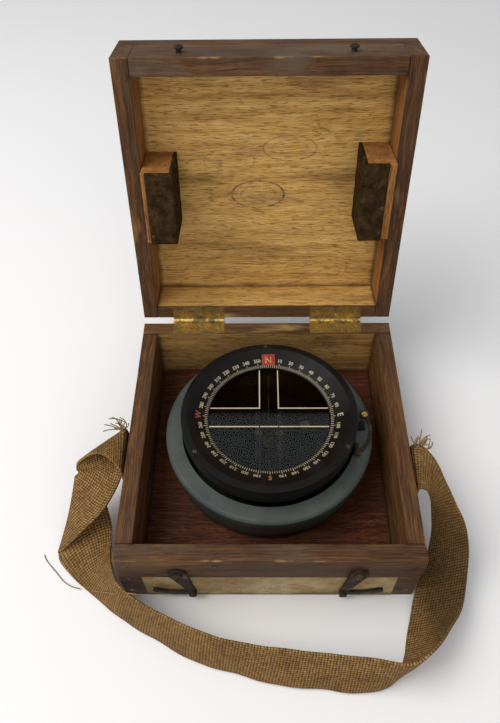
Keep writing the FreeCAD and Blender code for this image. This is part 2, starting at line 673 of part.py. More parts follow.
side_top_nails = nails_outside(lid_top_nails, INNER_WIDTH)
for side, way in (("left", -1), ("right", 1)):
    low_x, high_x = (-HALF_WIDTH, -INNER_WIDTH) if way < 0 else (INNER_WIDTH, HALF_WIDTH)
    lid_board(f"lid_{side}_rail", (low_x, -HALF_DEPTH, LID_RIM),
              (high_x, HALF_DEPTH, LID_CEILING), at_side(lid_side_nails, way),
              at_side(side_top_nails, way))

LID_SEAM = HALF_DEPTH - SIZE["lid_joint_back"]
lid_board("lid_top_wide_board", (-HALF_WIDTH, -HALF_DEPTH, LID_CEILING),
          (HALF_WIDTH, LID_SEAM, LID_TOP), [],
          nails_between(lid_top_nails, -HALF_DEPTH, LID_SEAM))
lid_board("lid_top_narrow_board", (-HALF_WIDTH, LID_SEAM, LID_CEILING),
          (HALF_WIDTH, HALF_DEPTH, LID_TOP), [],
          nails_between(lid_top_nails, LID_SEAM, HALF_DEPTH))

lid_nails = [nail(f"lid_side_nail_{number}", *place)
             for number, place in enumerate(lid_side_nails)]
lid_nails += [nail(f"lid_top_nail_{number}", *place, length=SIZE["top_nail_length"])
              for number, place in enumerate(lid_top_nails)]
keep("lid_nails", lid_opened(group("lid_nail_group", lid_nails)))

# hold-down blocks with an L of felt over the lower face and the inner face
BLOCK_LOW = LID_RIM - SIZE["block_below_rim"]
BLOCK_OUTER = INNER_WIDTH - SIZE["block_side_gap"]
BLOCK_INNER = BLOCK_OUTER - SIZE["block_width"]
FELT_LOW = BLOCK_LOW - SIZE["felt_thick"]
FELT_INNER = BLOCK_INNER - SIZE["felt_thick"]
TACK_PLACES = [(0.2, 0.32), (0.55, 0.86), (0.88, 0.86)]
tacks, blocks, felts = [], [], []


def tack(name, foot, clearance):
    """A felt tack with its head flush in the felt, or the hole for one."""
    return joined(name, [
        rod(name + "_shank", foot, SIZE["nail_shank"] + clearance,
            SIZE["short_nail_length"] + clearance),
        rod(name + "_head", foot, SIZE["tack_radius"] + clearance,
            SIZE["tack_head_depth"] + clearance),
    ])


for side, way in (("left", -1), ("right", 1)):
    block_back = COMPASS_Y + SIZE[f"block_{side}_back"]
    block_front = block_back - SIZE[f"block_{side}_length"]
    felt_outer = BLOCK_OUTER - SIZE[f"felt_{side}_bare"]

    def mirrored(label, near, far, low, high):
        """A block from near to far out from the middle, on this side."""
        low_x, high_x = (-far, -near) if way < 0 else (near, far)
        return block(label, (low_x, block_front, low), (high_x, block_back, high))

    wood = mirrored(f"{side}_block", BLOCK_INNER, BLOCK_OUTER, BLOCK_LOW, LID_CEILING)
    wood = rounded(f"{side}_block_rounded", wood, SIZE["edge_round"])
    tack_holes = []
    for number, (along, across) in enumerate(TACK_PLACES):
        y = block_front + (block_back - block_front) * along
        x = way * (FELT_INNER + (felt_outer - FELT_INNER) * across)
        foot = (x, y, FELT_LOW)
        tack_holes.append(tack(f"{side}_tack_hole_{number}", foot, FIT))
        tacks.append(tack(f"{side}_tack_{number}", foot, NO_PLAY))
    felt = joined(f"{side}_felt", [
        mirrored(f"{side}_felt_under", FELT_INNER, felt_outer, FELT_LOW, BLOCK_LOW),
        mirrored(f"{side}_felt_inside", FELT_INNER, BLOCK_INNER, FELT_LOW, LID_CEILING),
    ])
    blocks.append(cut(f"{side}_block_cut", wood, tack_holes))
    felts.append(cut(f"{side}_felt_cut", felt, tack_holes))
keep("hold_down_blocks", lid_opened(group("block_group", blocks)))
keep("block_felts", lid_opened(group("felt_group", felts)))
keep("felt_tacks", lid_opened(group("felt_tack_group", tacks)))

# ---- butt hinges with a stop, five knuckles each ----------------------------------------------
KNUCKLES = 5
hinge_pins = []
for side, middle in HINGES.items():
    start = middle - SIZE["hinge_length"] / 2
    pitch = SIZE["hinge_length"] / KNUCKLES

    def barrel(name, number, radius, spare_length):
        """One knuckle's stretch of the barrel, longer at both ends by a spare length."""
        foot = (start + pitch * number - spare_length, HINGE_Y, HINGE_Z)
        return rod(name, foot, radius, pitch + spare_length * 2, "+X")

    bore = rod(f"{side}_hinge_bore", (start - LOOSE, HINGE_Y, HINGE_Z),
               SIZE["hinge_pin_radius"] + FIT, SIZE["hinge_length"] + 2 * LOOSE, "+X")
    for leaf, own, low, high, top, direction in (
        ("base", (0, 2, 4), BASE_TOP - SIZE["leaf_thick"], BASE_TOP, BASE_TOP, "-Z"),
        ("lid", (1, 3), LID_RIM, LID_RIM + SIZE["leaf_thick"], LID_RIM, "+Z"),
    ):
        plate = block(f"{side}_{leaf}_plate", (start, HALF_DEPTH - SIZE["leaf_width"], low),
                      (start + SIZE["hinge_length"], HINGE_Y, high))
        rolls = [barrel(f"{side}_{leaf}_knuckle_{n}", n, SIZE["barrel_radius"], -GAP / 2)
                 for n in own]
        away = [barrel(f"{side}_{leaf}_clear_{n}", n, SIZE["barrel_radius"] + GAP, GAP / 2)
                for n in range(KNUCKLES) if n not in own]
        holes = [wood_screw(f"{side}_{leaf}_leaf_hole_{n}", x, top, direction, FIT)
                 for n, x in enumerate(leaf_screws(middle))]
        finished = cut(f"{side}_{leaf}_leaf_cut", joined(f"{side}_{leaf}_leaf_whole",
                                                        [plate] + rolls), away + holes + [bore])
        if leaf == "lid":
            lid_opened(finished)
        keep(f"hinge_{side}_{leaf}_leaf", finished)
    hinge_pins.append(rod(f"{side}_hinge_pin", (start, HINGE_Y, HINGE_Z),
                          SIZE["hinge_pin_radius"], SIZE["hinge_length"], "+X"))
keep("hinge_pins", group("hinge_pin_group", hinge_pins))

SLOT_TURNS = {"left": (20, 75, 130), "right": (160, 95, 40)}
for leaf, top, inward, outward in (("base", BASE_TOP, "-Z", "+Z"), ("lid", LID_RIM, "+Z", "-Z")):
    screws = []
    for side, middle in HINGES.items():
        for n, x in enumerate(leaf_screws(middle)):
            screw = wood_screw(f"{leaf}_screw_{side}_{n}", x, top, inward, NO_PLAY)
            screws.append(slotted(f"{leaf}_slotted_{side}_{n}", screw, (x, LEAF_Y, top),
                                  SIZE["leaf_screw_head"], outward, SLOT_TURNS[side][n]))
    screws = group(f"{leaf}_screw_group", screws)
    keep(f"hinge_{leaf}_screws", lid_opened(screws) if leaf == "lid" else screws)

# ---- swing hooks on the front, their pivots and the lid studs ---------------------------------
HOOK_BACK = -HALF_DEPTH - SIZE["hook_stand_off"]
HOOK_FRONT = HOOK_BACK - SIZE["hook_thick"]
BEAK_MIDDLE = SIZE["hook_reach"].value + SIZE["hook_beak"].value / 2
BEAK_HALF = SIZE["hook_beak"].value / 2


def beak_point(x, way, radius, degrees):
    """A point at a radius from the pivot, at an angle from plumb towards the box's middle."""
    angle = math.radians(degrees)
    return FreeCAD.Vector(x + way * radius * math.sin(angle), HOOK_BACK.value,
                          PIVOT_Z.value - radius * math.cos(angle))


def plate(face_wire):
    return Part.Face(face_wire).extrude(FreeCAD.Vector(0, -SIZE["hook_thick"].value, 0))


def disc(centre, radius, height):
    return Part.makeCylinder(radius, height, centre, FreeCAD.Vector(0, -1, 0))


def hook_shape(x, way):
    """Tapered arm from a round eye to a corner, then a beak that curves about the pivot."""
    root = SIZE["hook_root_angle"].value
    tip = SIZE["hook_tip_angle"].value
    inner, outer = BEAK_MIDDLE - BEAK_HALF, BEAK_MIDDLE + BEAK_HALF
    beak = Part.Wire([
        Part.Arc(beak_point(x, way, outer, root), beak_point(x, way, outer, 0),
                 beak_point(x, way, outer, -tip)).toShape(),
        Part.makeLine(beak_point(x, way, outer, -tip), beak_point(x, way, inner, -tip)),
        Part.Arc(beak_point(x, way, inner, -tip), beak_point(x, way, inner, 0),
                 beak_point(x, way, inner, root)).toShape(),
        Part.makeLine(beak_point(x, way, inner, root), beak_point(x, way, outer, root)),
    ])
    eye = SIZE["hook_eye"].value
    pivot = beak_point(x, way, 0, 0)
    corner = beak_point(x, way, BEAK_MIDDLE, root)
    along = (corner - pivot).normalize()
    across = along.cross(FreeCAD.Vector(0, 1, 0))
    lean = (eye - BEAK_HALF) / BEAK_MIDDLE
    spread = math.sqrt(1 - lean * lean)
    edges = []
    for centre, radius in ((pivot, eye), (corner, BEAK_HALF)):
        edges.append([centre + along * (radius * lean) + across * (radius * spread * s)
                      for s in (1, -1)])
    (a, b), (c, d) = edges
    arm = Part.makePolygon([a, b, d, c, a])
    thick = SIZE["hook_thick"].value
    whole = plate(beak).fuse([
        plate(arm), disc(pivot, eye, thick), disc(corner, BEAK_HALF, thick),
        disc(beak_point(x, way, BEAK_MIDDLE, -tip), BEAK_HALF, thick),
        disc(corner, SIZE["hook_knob"].value, thick + SIZE["hook_knob_proud"].value),
    ])
    hole = disc(pivot, SIZE["hook_pivot_shank"].value + FIT.value, thick)
    return whole.cut(hole).removeSplitter()


def domed(name, x, z, shank, head, rim, dome, slope):
    """A round-headed pin in the front face that clears a hook's plate."""
    clear = SIZE["hook_stand_off"] + SIZE["hook_thick"] + GAP
    foot = -HALF_DEPTH - clear
    return joined(name, [
        rod(name + "_shank", (x, foot, z), shank, clear + PIVOT_DEPTH, "+Y"),
        rod(name + "_rim", (x, foot, z), head, rim, "-Y"),
        cone(name + "_dome", (x, foot - rim, z), head, head * slope, dome, "-Y"),
    ])


HEAD_Y = -HALF_DEPTH - SIZE["hook_stand_off"] - SIZE["hook_thick"] - GAP
PIVOT_FACE = HEAD_Y - SIZE["hook_pivot_rim"] - SIZE["hook_pivot_dome"]
PIVOT_SLOPE = 0.6
STUD_SLOPE = 0.5
pivots, studs = [], []
for side, (x, way) in HOOKS.items():
    hook = document.addObject("Part::Feature", f"hook_{side}_plate")
    hook.Shape = hook_shape(x.value, way)
    keep(f"hook_{side}", hook)

    pivot = domed(f"pivot_{side}", x, PIVOT_Z, SIZE["hook_pivot_shank"], SIZE["hook_pivot_head"],
                  SIZE["hook_pivot_rim"], SIZE["hook_pivot_dome"], PIVOT_SLOPE)
    pivots.append(slotted(f"hook_pivot_{side}", pivot, (x, PIVOT_FACE, PIVOT_Z),
                          SIZE["hook_pivot_head"], "-Y", 90 + 35 * way))
    stud_x, stud_z = STUDS[side]
    studs.append(domed(f"stud_{side}", stud_x, stud_z, SIZE["stud_neck"], SIZE["stud_head"],
                       SIZE["stud_rim"], SIZE["stud_dome"], STUD_SLOPE))
keep("hook_pivot_screws", group("hook_pivot_group", pivots))
keep("lid_hook_studs", lid_opened(group("stud_group", studs)))

# ---- the compass: fixed pieces ----------------------------------------------------------------
FLOOR = BOARD
SHOULDER = FLOOR + SIZE["drum_height"]
WALL = SIZE["drum_wall"]
BASE_IN = FLOOR + SIZE["drum_base_thick"]
EDGE_HIGH = FLOOR + SIZE["drum_side"]
FOOT_ROUND = SIZE["drum_foot_round"]
EDGE_ROUND = SIZE["drum_edge_round"]
keep("compass_drum", turned("drum", [
    (FOOT - FOOT_ROUND, FLOOR), (FOOT, FLOOR + FOOT_ROUND),
    (DRUM - EDGE_ROUND, EDGE_HIGH - EDGE_ROUND * 6), (DRUM, EDGE_HIGH - EDGE_ROUND * 2),
    (DRUM, EDGE_HIGH + EDGE_ROUND), (DRUM - EDGE_ROUND, SHOULDER - EDGE_ROUND),
    (DRUM - EDGE_ROUND * 2.5, SHOULDER), (MOUTH, SHOULDER),
    (MOUTH, SHOULDER - WALL), (DRUM - EDGE_ROUND * 2.5 - WALL / 4, SHOULDER - WALL),
    (DRUM - WALL, EDGE_HIGH), (FOOT - WALL, FLOOR + FOOT_ROUND + WALL / 4),
    (FOOT - FOOT_ROUND - WALL / 4, FLOOR + WALL), (FOOT - FOOT_ROUND - WALL / 4, FLOOR),
], COMPASS_X, COMPASS_Y))

PAD_CIRCLE = SIZE["bowl_radius"] - SIZE["pad_inset"]
bolt_places = [on_circle(PAD_CIRCLE, angle) for angle in (90, 210, 330)]
BOWL_LOW = BASE_IN + SIZE["pad_height"]
BOWL_TOP = BOWL_LOW + SIZE["bowl_height"]


def bolts(name, clearance):
    """The bolts that hold plate, rubber mounts and bowl together, or their holes."""
    height = SIZE["drum_base_thick"] + SIZE["pad_height"] + SIZE["mount_bolt_depth"] + clearance
    return [rod(f"{name}_{number}", (x, y, FLOOR), SIZE["mount_bolt"] + clearance, height)
            for number, (x, y) in enumerate(bolt_places)]


base_plate = rod("drum_plate", (COMPASS_X, COMPASS_Y, FLOOR), FOOT - FOOT_ROUND - WALL / 2,
                 SIZE["drum_base_thick"])
keep("drum_base_plate", cut("drum_plate_cut", base_plate, bolts("plate_bolt_hole", FIT)))
pads = [rod(f"pad_{number}", (x, y, BASE_IN), SIZE["pad_radius"], SIZE["pad_height"])
        for number, (x, y) in enumerate(bolt_places)]
pads = [cut(f"pad_cut_{number}", pad, [hole])
        for number, (pad, hole) in enumerate(zip(pads, bolts("pad_bolt_hole", FIT)))]
keep("rubber_mounts", group("pad_group", pads))
keep("mount_bolts", group("mount_bolt_group", bolts("mount_bolt", NO_PLAY)))

FLANGE_LOW = BOWL_TOP - SIZE["flange_height"]
GLASS_LOW = BOWL_TOP - SIZE["glass_thick"]
GASKET_LOW = GLASS_LOW - SIZE["gasket_thick"]
BOWL_FLOOR = BOWL_LOW + SIZE["bowl_floor"]
SEAT = GLASS_RADIUS + FIT
BOWL_ROUND = SIZE["bowl_round"]
EASED = LOOSE
bowl = turned("bowl", [
    (as_size(0), BOWL_LOW), (SIZE["bowl_radius"] - BOWL_ROUND, BOWL_LOW),
    (SIZE["bowl_radius"], BOWL_LOW + BOWL_ROUND), (SIZE["bowl_radius"], FLANGE_LOW),
    (FLANGE - EASED, FLANGE_LOW), (FLANGE, FLANGE_LOW + EASED),
    (FLANGE, BOWL_TOP), (SEAT, BOWL_TOP), (SEAT, GASKET_LOW),
    (BORE, GASKET_LOW), (BORE, BOWL_FLOOR + BOWL_ROUND * 0.75),
    (BORE - BOWL_ROUND * 0.75, BOWL_FLOOR), (as_size(0), BOWL_FLOOR),
], COMPASS_X, COMPASS_Y)
PLUG_RADIUS = SIZE["plug_radius"]
plug_x, plug_y = on_circle(SIZE["bowl_radius"] - SIZE["plug_inset"], 30)
plug_hole = rod("plug_hole", (plug_x, plug_y, BOWL_LOW), PLUG_RADIUS + FIT, SIZE["bowl_floor"])
BEZEL_SCREWS = [30, 90, 150, 210, 270, 330]
BEZEL_CIRCLE = (BEZEL_INNER + BEZEL_OUTER) / 2 + SIZE["bezel_screw_out"]
BEZEL_TOP = BOWL_TOP + SIZE["bezel_height"]


def bezel_screws(name, clearance):
    """Small cheese-head screws through the bezel into the bowl's flange, or their holes."""
    made = []
    for number, angle in enumerate(BEZEL_SCREWS):
        x, y = on_circle(BEZEL_CIRCLE, angle)
        foot = (x, y, BEZEL_TOP)
        head = rod(f"{name}_head_{number}", foot, SIZE["bezel_screw_head"] + clearance,
                   SIZE["bezel_screw_sink"] + clearance, "-Z")
        stem = rod(f"{name}_stem_{number}", foot, SIZE["bezel_screw_shank"] + clearance,
                   SIZE["bezel_height"] + SIZE["bezel_screw_depth"] + clearance, "-Z")
        made.append(joined(f"{name}_{number}", [head, stem]))
    return made


keep("compass_bowl", cut("bowl_cut", bowl, bolts("bowl_bolt_hole", FIT) + [plug_hole]
                         + bezel_screws("bowl_screw_hole", FIT)))
keep("filler_plug", joined("plug", [
    rod("plug_thread", (plug_x, plug_y, BOWL_LOW), PLUG_RADIUS, SIZE["bowl_floor"]),
    rod("plug_head", (plug_x, plug_y, BOWL_LOW), SIZE["plug_head"], SIZE["plug_head_thick"], "-Z"),
]))
keep("glass_gasket", turned("gasket", [
    (BORE, GASKET_LOW), (GLASS_RADIUS, GASKET_LOW), (GLASS_RADIUS, GLASS_LOW), (BORE, GLASS_LOW),
], COMPASS_X, COMPASS_Y))
keep("bowl_glass", rod("sealed_glass", (COMPASS_X, COMPASS_Y, GLASS_LOW), GLASS_RADIUS,
                       SIZE["glass_thick"]))
LIP_LOW = BOWL_TOP + SIZE["bezel_foot"]
bezel = turned("bezel", [
    (BEZEL_INNER, BOWL_TOP), (BEZEL_OUTER, BOWL_TOP), (BEZEL_OUTER, LIP_LOW), (LIP, LIP_LOW),
    (LIP, BEZEL_TOP), (BEZEL_INNER, BEZEL_TOP),
], COMPASS_X, COMPASS_Y)
keep("bezel_ring", cut("bezel_cut", bezel, bezel_screws("bezel_hole", FIT)))
keep("bezel_screws", group("bezel_screw_group", bezel_screws("bezel_screw", NO_PLAY)))

# expansion capsule under the bowl: a corrugated tube closed at both ends
FOLDS = 3
FOLD_IN = SIZE["capsule_radius"] - SIZE["capsule_fold"]
PITCH = SIZE["capsule_pitch"]
CAPSULE_LOW = BOWL_LOW - SIZE["capsule_end"] - PITCH * FOLDS
capsule = [(as_size(0), CAPSULE_LOW), (FOLD_IN, CAPSULE_LOW)]
for fold in range(FOLDS):
    level = CAPSULE_LOW + SIZE["capsule_end"] + PITCH * fold
    capsule += [(SIZE["capsule_radius"], level), (FOLD_IN, level + PITCH / 2)]
capsule += [(FOLD_IN, BOWL_LOW), (as_size(0), BOWL_LOW)]
keep("expansion_bellows", turned("capsule", capsule, COMPASS_X, COMPASS_Y))

keep("pivot_post", rod("post", (COMPASS_X, COMPASS_Y, BOWL_FLOOR), SIZE["post_radius"],
                       SIZE["post_height"]))
CUP_LOW = BOWL_FLOOR + SIZE["post_height"]
CUP_TOP = CUP_LOW + SIZE["cup_height"]
keep("jewel_cup", turned("cup", [
    (as_size(0), CUP_LOW), (SIZE["cup_radius"], CUP_LOW), (SIZE["cup_radius"], CUP_TOP),
    (SIZE["cup_mouth"], CUP_TOP), (as_size(0), CUP_TOP - SIZE["cup_depth"]),
], COMPASS_X, COMPASS_Y))
lubber_y = COMPASS_Y + BORE - SIZE["lubber_reach"]
ARM_Z = GASKET_LOW - SIZE["lubber_arm_drop"]
WIRE_LOW = ARM_Z + SIZE["lubber_overlap"] - SIZE["lubber_length"]
keep("lubber_line", joined("lubber", [
    rod("lubber_arm", (COMPASS_X, lubber_y, ARM_Z), SIZE["lubber_radius"], SIZE["lubber_reach"],
        "+Y"),
    rod("lubber_wire", (COMPASS_X, lubber_y, WIRE_LOW), SIZE["lubber_radius"],
        SIZE["lubber_length"]),
]))

# ---- the turning grid ring --------------------------------------------------------------------
SKIRT_LOW = BOWL_TOP + GAP
SKIRT_TOP = SKIRT_LOW + SIZE["skirt_height"]
SCALE_TOP = SKIRT_TOP + SIZE["scale_height"]
RING_ROUND = SIZE["ring_round"]
skirt = turned("skirt", [
    (BEZEL_OUTER + GAP, SKIRT_LOW), (RING - RING_ROUND, SKIRT_LOW),
    (RING, SKIRT_LOW + RING_ROUND), (RING, SKIRT_TOP), (LIP + GAP, SKIRT_TOP),
    (LIP + GAP, LIP_LOW - GAP), (BEZEL_OUTER + GAP, LIP_LOW - GAP),
], COMPASS_X, COMPASS_Y)
WINDOW_TOP = SCALE_TOP - SIZE["scale_drop"]
COVER_TOP = WINDOW_TOP - SIZE["window_lip"]
COVER_LOW = COVER_TOP - SIZE["cover_glass_thick"]
REBATE = COVER_RADIUS + FIT
REBATE_OUT = REBATE + SIZE["rebate_wall"]
scale = turned("scale", [
    (RING, SKIRT_TOP), (RING, SCALE_TOP - RING_ROUND), (RING - RING_ROUND, SCALE_TOP),
    (CONE_OUTER, SCALE_TOP), (WINDOW, WINDOW_TOP), (WINDOW, COVER_TOP),
    (REBATE, COVER_TOP), (REBATE, COVER_LOW), (REBATE_OUT, COVER_LOW),
    (REBATE_OUT, BEZEL_TOP + SIZE["scale_clearance"]), (LIP - SIZE["scale_lap"], SKIRT_TOP),
], COMPASS_X, COMPASS_Y)
RING_SCREWS = [92, 212, 332]
RING_SCREW_CIRCLE = RING - SIZE["ring_screw_inset"]


def ring_screws(name, clearance):
    """Countersunk screws that hold the scale to the skirt, or their holes."""
    made = []
    for number, angle in enumerate(RING_SCREWS):
        x, y = on_circle(RING_SCREW_CIRCLE, angle)
        foot = (x, y, SCALE_TOP)
        head = cone(f"{name}_head_{number}", foot, SIZE["ring_screw_head"] + clearance,
                    SIZE["ring_screw_shank"] + clearance, SIZE["ring_screw_sink"], "-Z")
        stem = rod(f"{name}_stem_{number}", foot, SIZE["ring_screw_shank"] + clearance,
                   SIZE["ring_screw_length"] + clearance, "-Z")
        made.append(joined(f"{name}_{number}", [head, stem]))
    return made


keep("grid_ring_skirt", cut("skirt_cut", skirt, ring_screws("skirt_hole", FIT)))
keep("grid_ring_scale", cut("scale_cut", scale, ring_screws("scale_hole", FIT)))
slotted_screws = []
for angle, screw in zip(RING_SCREWS, ring_screws("ring_screw", NO_PLAY)):
    x, y = on_circle(RING_SCREW_CIRCLE, angle)
    slotted_screws.append(slotted(screw.Name + "_slotted", screw, (x, y, SCALE_TOP),
                                  SIZE["ring_screw_head"], "+Z", angle + 50))
keep("grid_ring_screws", group("ring_screw_group", slotted_screws))
keep("grid_cover_glass", rod("cover_glass", (COMPASS_X, COMPASS_Y, COVER_LOW),
                             COVER_RADIUS, SIZE["cover_glass_thick"]))

HALF_LINE = SIZE["grid_line"] / 2
LINE_END = WINDOW - SIZE["grid_end_gap"]


def grid_bar(name, x_low, x_high, y_low, y_high):
    """A flat line on the cover glass, placed from the compass axis."""
    return block(name, (COMPASS_X + x_low, COMPASS_Y + y_low, COVER_TOP),
                 (COMPASS_X + x_high, COMPASS_Y + y_high, COVER_TOP + SIZE["grid_line_high"]))


LANE = SIZE["grid_lane"]
UPPER = SIZE["grid_upper"]
LOWER = SIZE["grid_lower"]
left_corner = joined("grid_left", [
    grid_bar("grid_left_up", -LANE - HALF_LINE, -LANE + HALF_LINE, UPPER - HALF_LINE, LINE_END),
    grid_bar("grid_left_out", -LINE_END, -LANE + HALF_LINE, UPPER - HALF_LINE,
             UPPER + HALF_LINE),
])
right_corner = joined("grid_right", [
    grid_bar("grid_right_up", LANE - HALF_LINE, LANE + HALF_LINE, UPPER - HALF_LINE, LINE_END),
    grid_bar("grid_right_out", LANE - HALF_LINE, LINE_END, UPPER - HALF_LINE,
             UPPER + HALF_LINE),
])
cross = grid_bar("grid_cross", -LINE_END, LINE_END, -LOWER - HALF_LINE, -LOWER + HALF_LINE)
keep("grid_lines", group("grid_line_group", [left_corner, right_corner, cross]))

SLOPE = SIZE["scale_drop"] / SIZE["scale_width"]
MARK_IN = WINDOW + SIZE["north_mark_inner"]
MARK_OUT = CONE_OUTER - SIZE["north_mark_outer"]
MARK_THICK = SIZE["north_mark_thick"]
mark_layer = turned("mark_layer", [
    (MARK_IN, WINDOW_TOP + SLOPE * (MARK_IN - WINDOW)),
    (MARK_OUT, WINDOW_TOP + SLOPE * (MARK_OUT - WINDOW)),
    (MARK_OUT, WINDOW_TOP + SLOPE * (MARK_OUT - WINDOW) + MARK_THICK),
    (MARK_IN, WINDOW_TOP + SLOPE * (MARK_IN - WINDOW) + MARK_THICK),
], COMPASS_X, COMPASS_Y)
mark = document.addObject("Part::Common", "north_mark_cut")
mark.Base = mark_layer
mark.Tool = block("north_mark_width", (COMPASS_X - SIZE["north_mark_half"], COMPASS_Y, COVER_TOP),
                  (COMPASS_X + SIZE["north_mark_half"], COMPASS_Y + RING, SCALE_TOP + LOOSE))
keep("north_mark", mark)

# ---- the magnet system on its pivot -----------------------------------------------------------
TIP = CUP_TOP - SIZE["cup_depth"] + SIZE["tip_gap"]
HUB_LOW = CUP_TOP + SIZE["hub_rise"]
HUB_TOP = HUB_LOW + SIZE["hub_height"]
HUB = SIZE["hub_radius"]
PIN_RADIUS = SIZE["pin_radius"]
BODY_LOW = TIP + SIZE["pin_point"]
keep("pivot_pin", joined("pin", [
    cone("pin_tip", (COMPASS_X, COMPASS_Y, TIP), PIN_RADIUS / 16, PIN_RADIUS, SIZE["pin_point"]),
    rod("pin_body", (COMPASS_X, COMPASS_Y, BODY_LOW), PIN_RADIUS,
        HUB_LOW - BODY_LOW + SIZE["pin_in_hub"]),
]))
hub = turned("hub", [
    (as_size(0), HUB_LOW), (HUB - SIZE["hub_round"], HUB_LOW), (HUB, HUB_LOW + SIZE["hub_round"]),
    (HUB, HUB_LOW + SIZE["hub_round"] + SIZE["hub_side"]), (SIZE["hub_top"], HUB_TOP),
    (as_size(0), HUB_TOP),
], COMPASS_X, COMPASS_Y)
hub_hole = rod("hub_pin_hole", (COMPASS_X, COMPASS_Y, HUB_LOW), PIN_RADIUS + FIT,
               SIZE["pin_in_hub"] + FIT)
WIRE_Z = HUB_LOW + SIZE["wire_rise"]


def wires(name, clearance):
    """Four damping wires that stand out from the hub, or their sockets in it."""
    made = []
    start = HUB - SIZE["wire_in_hub"] - clearance
    length = BORE - SIZE["wire_gap"] - start
    for direction, step_x, step_y in (("+X", 1, 0), ("-X", -1, 0), ("+Y", 0, 1), ("-Y", 0, -1)):
        foot = (COMPASS_X + step_x * start, COMPASS_Y + step_y * start, WIRE_Z)
        made.append(rod(f"{name}_{len(made)}", foot, SIZE["wire_radius"] + clearance, length,
                        direction))
    return made


keep("magnet_hub", cut("hub_cut", hub, [hub_hole] + wires("wire_socket", FIT)))
keep("damping_wires", group("wire_group", wires("damping_wire", NO_PLAY)))
CARRIER_LOW = HUB_LOW - SIZE["carrier_thick"]
CARRIER_REACH = SIZE["magnet_side"] + SIZE["carrier_end"]
MAGNET_Z = CARRIER_LOW - SIZE["magnet_radius"]
carrier = block("carrier_bar",
                (COMPASS_X - CARRIER_REACH, COMPASS_Y - SIZE["carrier_half"], CARRIER_LOW),
                (COMPASS_X + CARRIER_REACH, COMPASS_Y + SIZE["carrier_half"], HUB_LOW))
carrier_hole = rod("carrier_hole", (COMPASS_X, COMPASS_Y, CARRIER_LOW - LOOSE),
                   PIN_RADIUS + FIT, SIZE["carrier_thick"] + 2 * LOOSE)
keep("magnet_carrier", cut("carrier_cut", carrier, [carrier_hole]))
magnets = [rod(f"magnet_{number}", (COMPASS_X + way * SIZE["magnet_side"],
                                    COMPASS_Y - SIZE["magnet_length"] / 2, MAGNET_Z),
               SIZE["magnet_radius"], SIZE["magnet_length"], "+Y")
           for number, way in enumerate((-1, 1))]
keep("bar_magnets", group("magnet_group", magnets))

# ---- lock lever on the drum's shoulder --------------------------------------------------------
LEVER_LOW = SHOULDER + SIZE["lever_lift"]
LEVER_TOP = LEVER_LOW + SIZE["lever_thick"]
LEVER_X = COMPASS_X + DRUM - SIZE["lever_inset"]
LEVER_Y = COMPASS_Y + SIZE["lever_behind"]
LEVER_SCREW = SIZE["lever_screw_shank"]
LEVER_SCREW_HEAD = SIZE["lever_screw_head"]
brake_x, brake_y = on_circle(RING + GAP + SIZE["brake_radius"], SIZE["brake_angle"].value)


def lever_shape():
    """A flat bow from the pivot eye, out past the drum's edge and in to the brake pin."""
    level = LEVER_LOW.value
    eye = FreeCAD.Vector(LEVER_X.value, LEVER_Y.value, level)
    end = FreeCAD.Vector(brake_x.value + SIZE["lever_end_out"].value, brake_y.value, level)
    crown_x = COMPASS_X + DRUM - SIZE["lever_crown_inset"]
    crown_y = COMPASS_Y - SIZE["lever_crown_front"]
    crown = FreeCAD.Vector(crown_x.value, crown_y.value, level)
    path = Part.Circle(eye, crown, end)
    half = SIZE["lever_band"].value / 2
    up = FreeCAD.Vector(0, 0, SIZE["lever_thick"].value)
    centre = path.Center
    radius = path.Radius
    reach = [(point - centre).normalize() for point in (eye, crown, end)]
    outer = [centre + way * (radius + half) for way in reach]
    inner = [centre + way * (radius - half) for way in reach]
    band = Part.Wire([
        Part.Arc(*outer).toShape(), Part.makeLine(outer[2], inner[2]),
        Part.Arc(*reversed(inner)).toShape(), Part.makeLine(inner[0], outer[0]),
    ])
    band = Part.Face(band).extrude(up)
    round_eye = Part.makeCylinder(SIZE["lever_eye"].value, up.z, eye)
    round_end = Part.makeCylinder(SIZE["lever_end"].value, up.z, end)
    whole = band.fuse([round_eye, round_end])
    shank = LEVER_SCREW.value + FIT.value
    head = LEVER_SCREW_HEAD.value + FIT.value
    hole = Part.makeCylinder(shank, up.z, eye)
    depth = FreeCAD.Vector(0, 0, head - shank)
    sink = Part.makeCone(shank, head, depth.z, eye + up - depth)
    socket = Part.makeCylinder(SIZE["brake_radius"].value + FIT.value, up.z,
                               FreeCAD.Vector(brake_x.value, brake_y.value, level))
    return whole.cut([hole, sink, socket]).removeSplitter()


lever = document.addObject("Part::Feature", "lever_plate")
lever.Shape = lever_shape()
keep("lock_lever", lever)
BRAKE_BODY = SIZE["brake_height"] - SIZE["brake_point"]
keep("lever_brake_pin", joined("brake", [
    rod("brake_stem", (brake_x, brake_y, LEVER_LOW), SIZE["brake_radius"], BRAKE_BODY),
    cone("brake_top", (brake_x, brake_y, LEVER_LOW + BRAKE_BODY), SIZE["brake_radius"],
         SIZE["brake_radius"] - SIZE["brake_round"], SIZE["brake_point"]),
]))
SINK = SIZE["lever_screw_sink"]
lever_screw = joined("lever_screw_whole", [
    rod("lever_screw_stem", (LEVER_X, LEVER_Y, SHOULDER), LEVER_SCREW,
        SIZE["lever_lift"] + SIZE["lever_thick"] - SINK),
    cone("lever_screw_head", (LEVER_X, LEVER_Y, LEVER_TOP - SINK), LEVER_SCREW,
         LEVER_SCREW_HEAD - SIZE["lever_screw_play"], SINK),
])
keep("lever_screw", slotted("lever_screw_slotted", lever_screw, (LEVER_X, LEVER_Y, LEVER_TOP),
                            LEVER_SCREW_HEAD, "+Z", 25))
washer = rod("washer_disc", (LEVER_X, LEVER_Y, SHOULDER), SIZE["washer_radius"],
             SIZE["lever_lift"] - GAP)
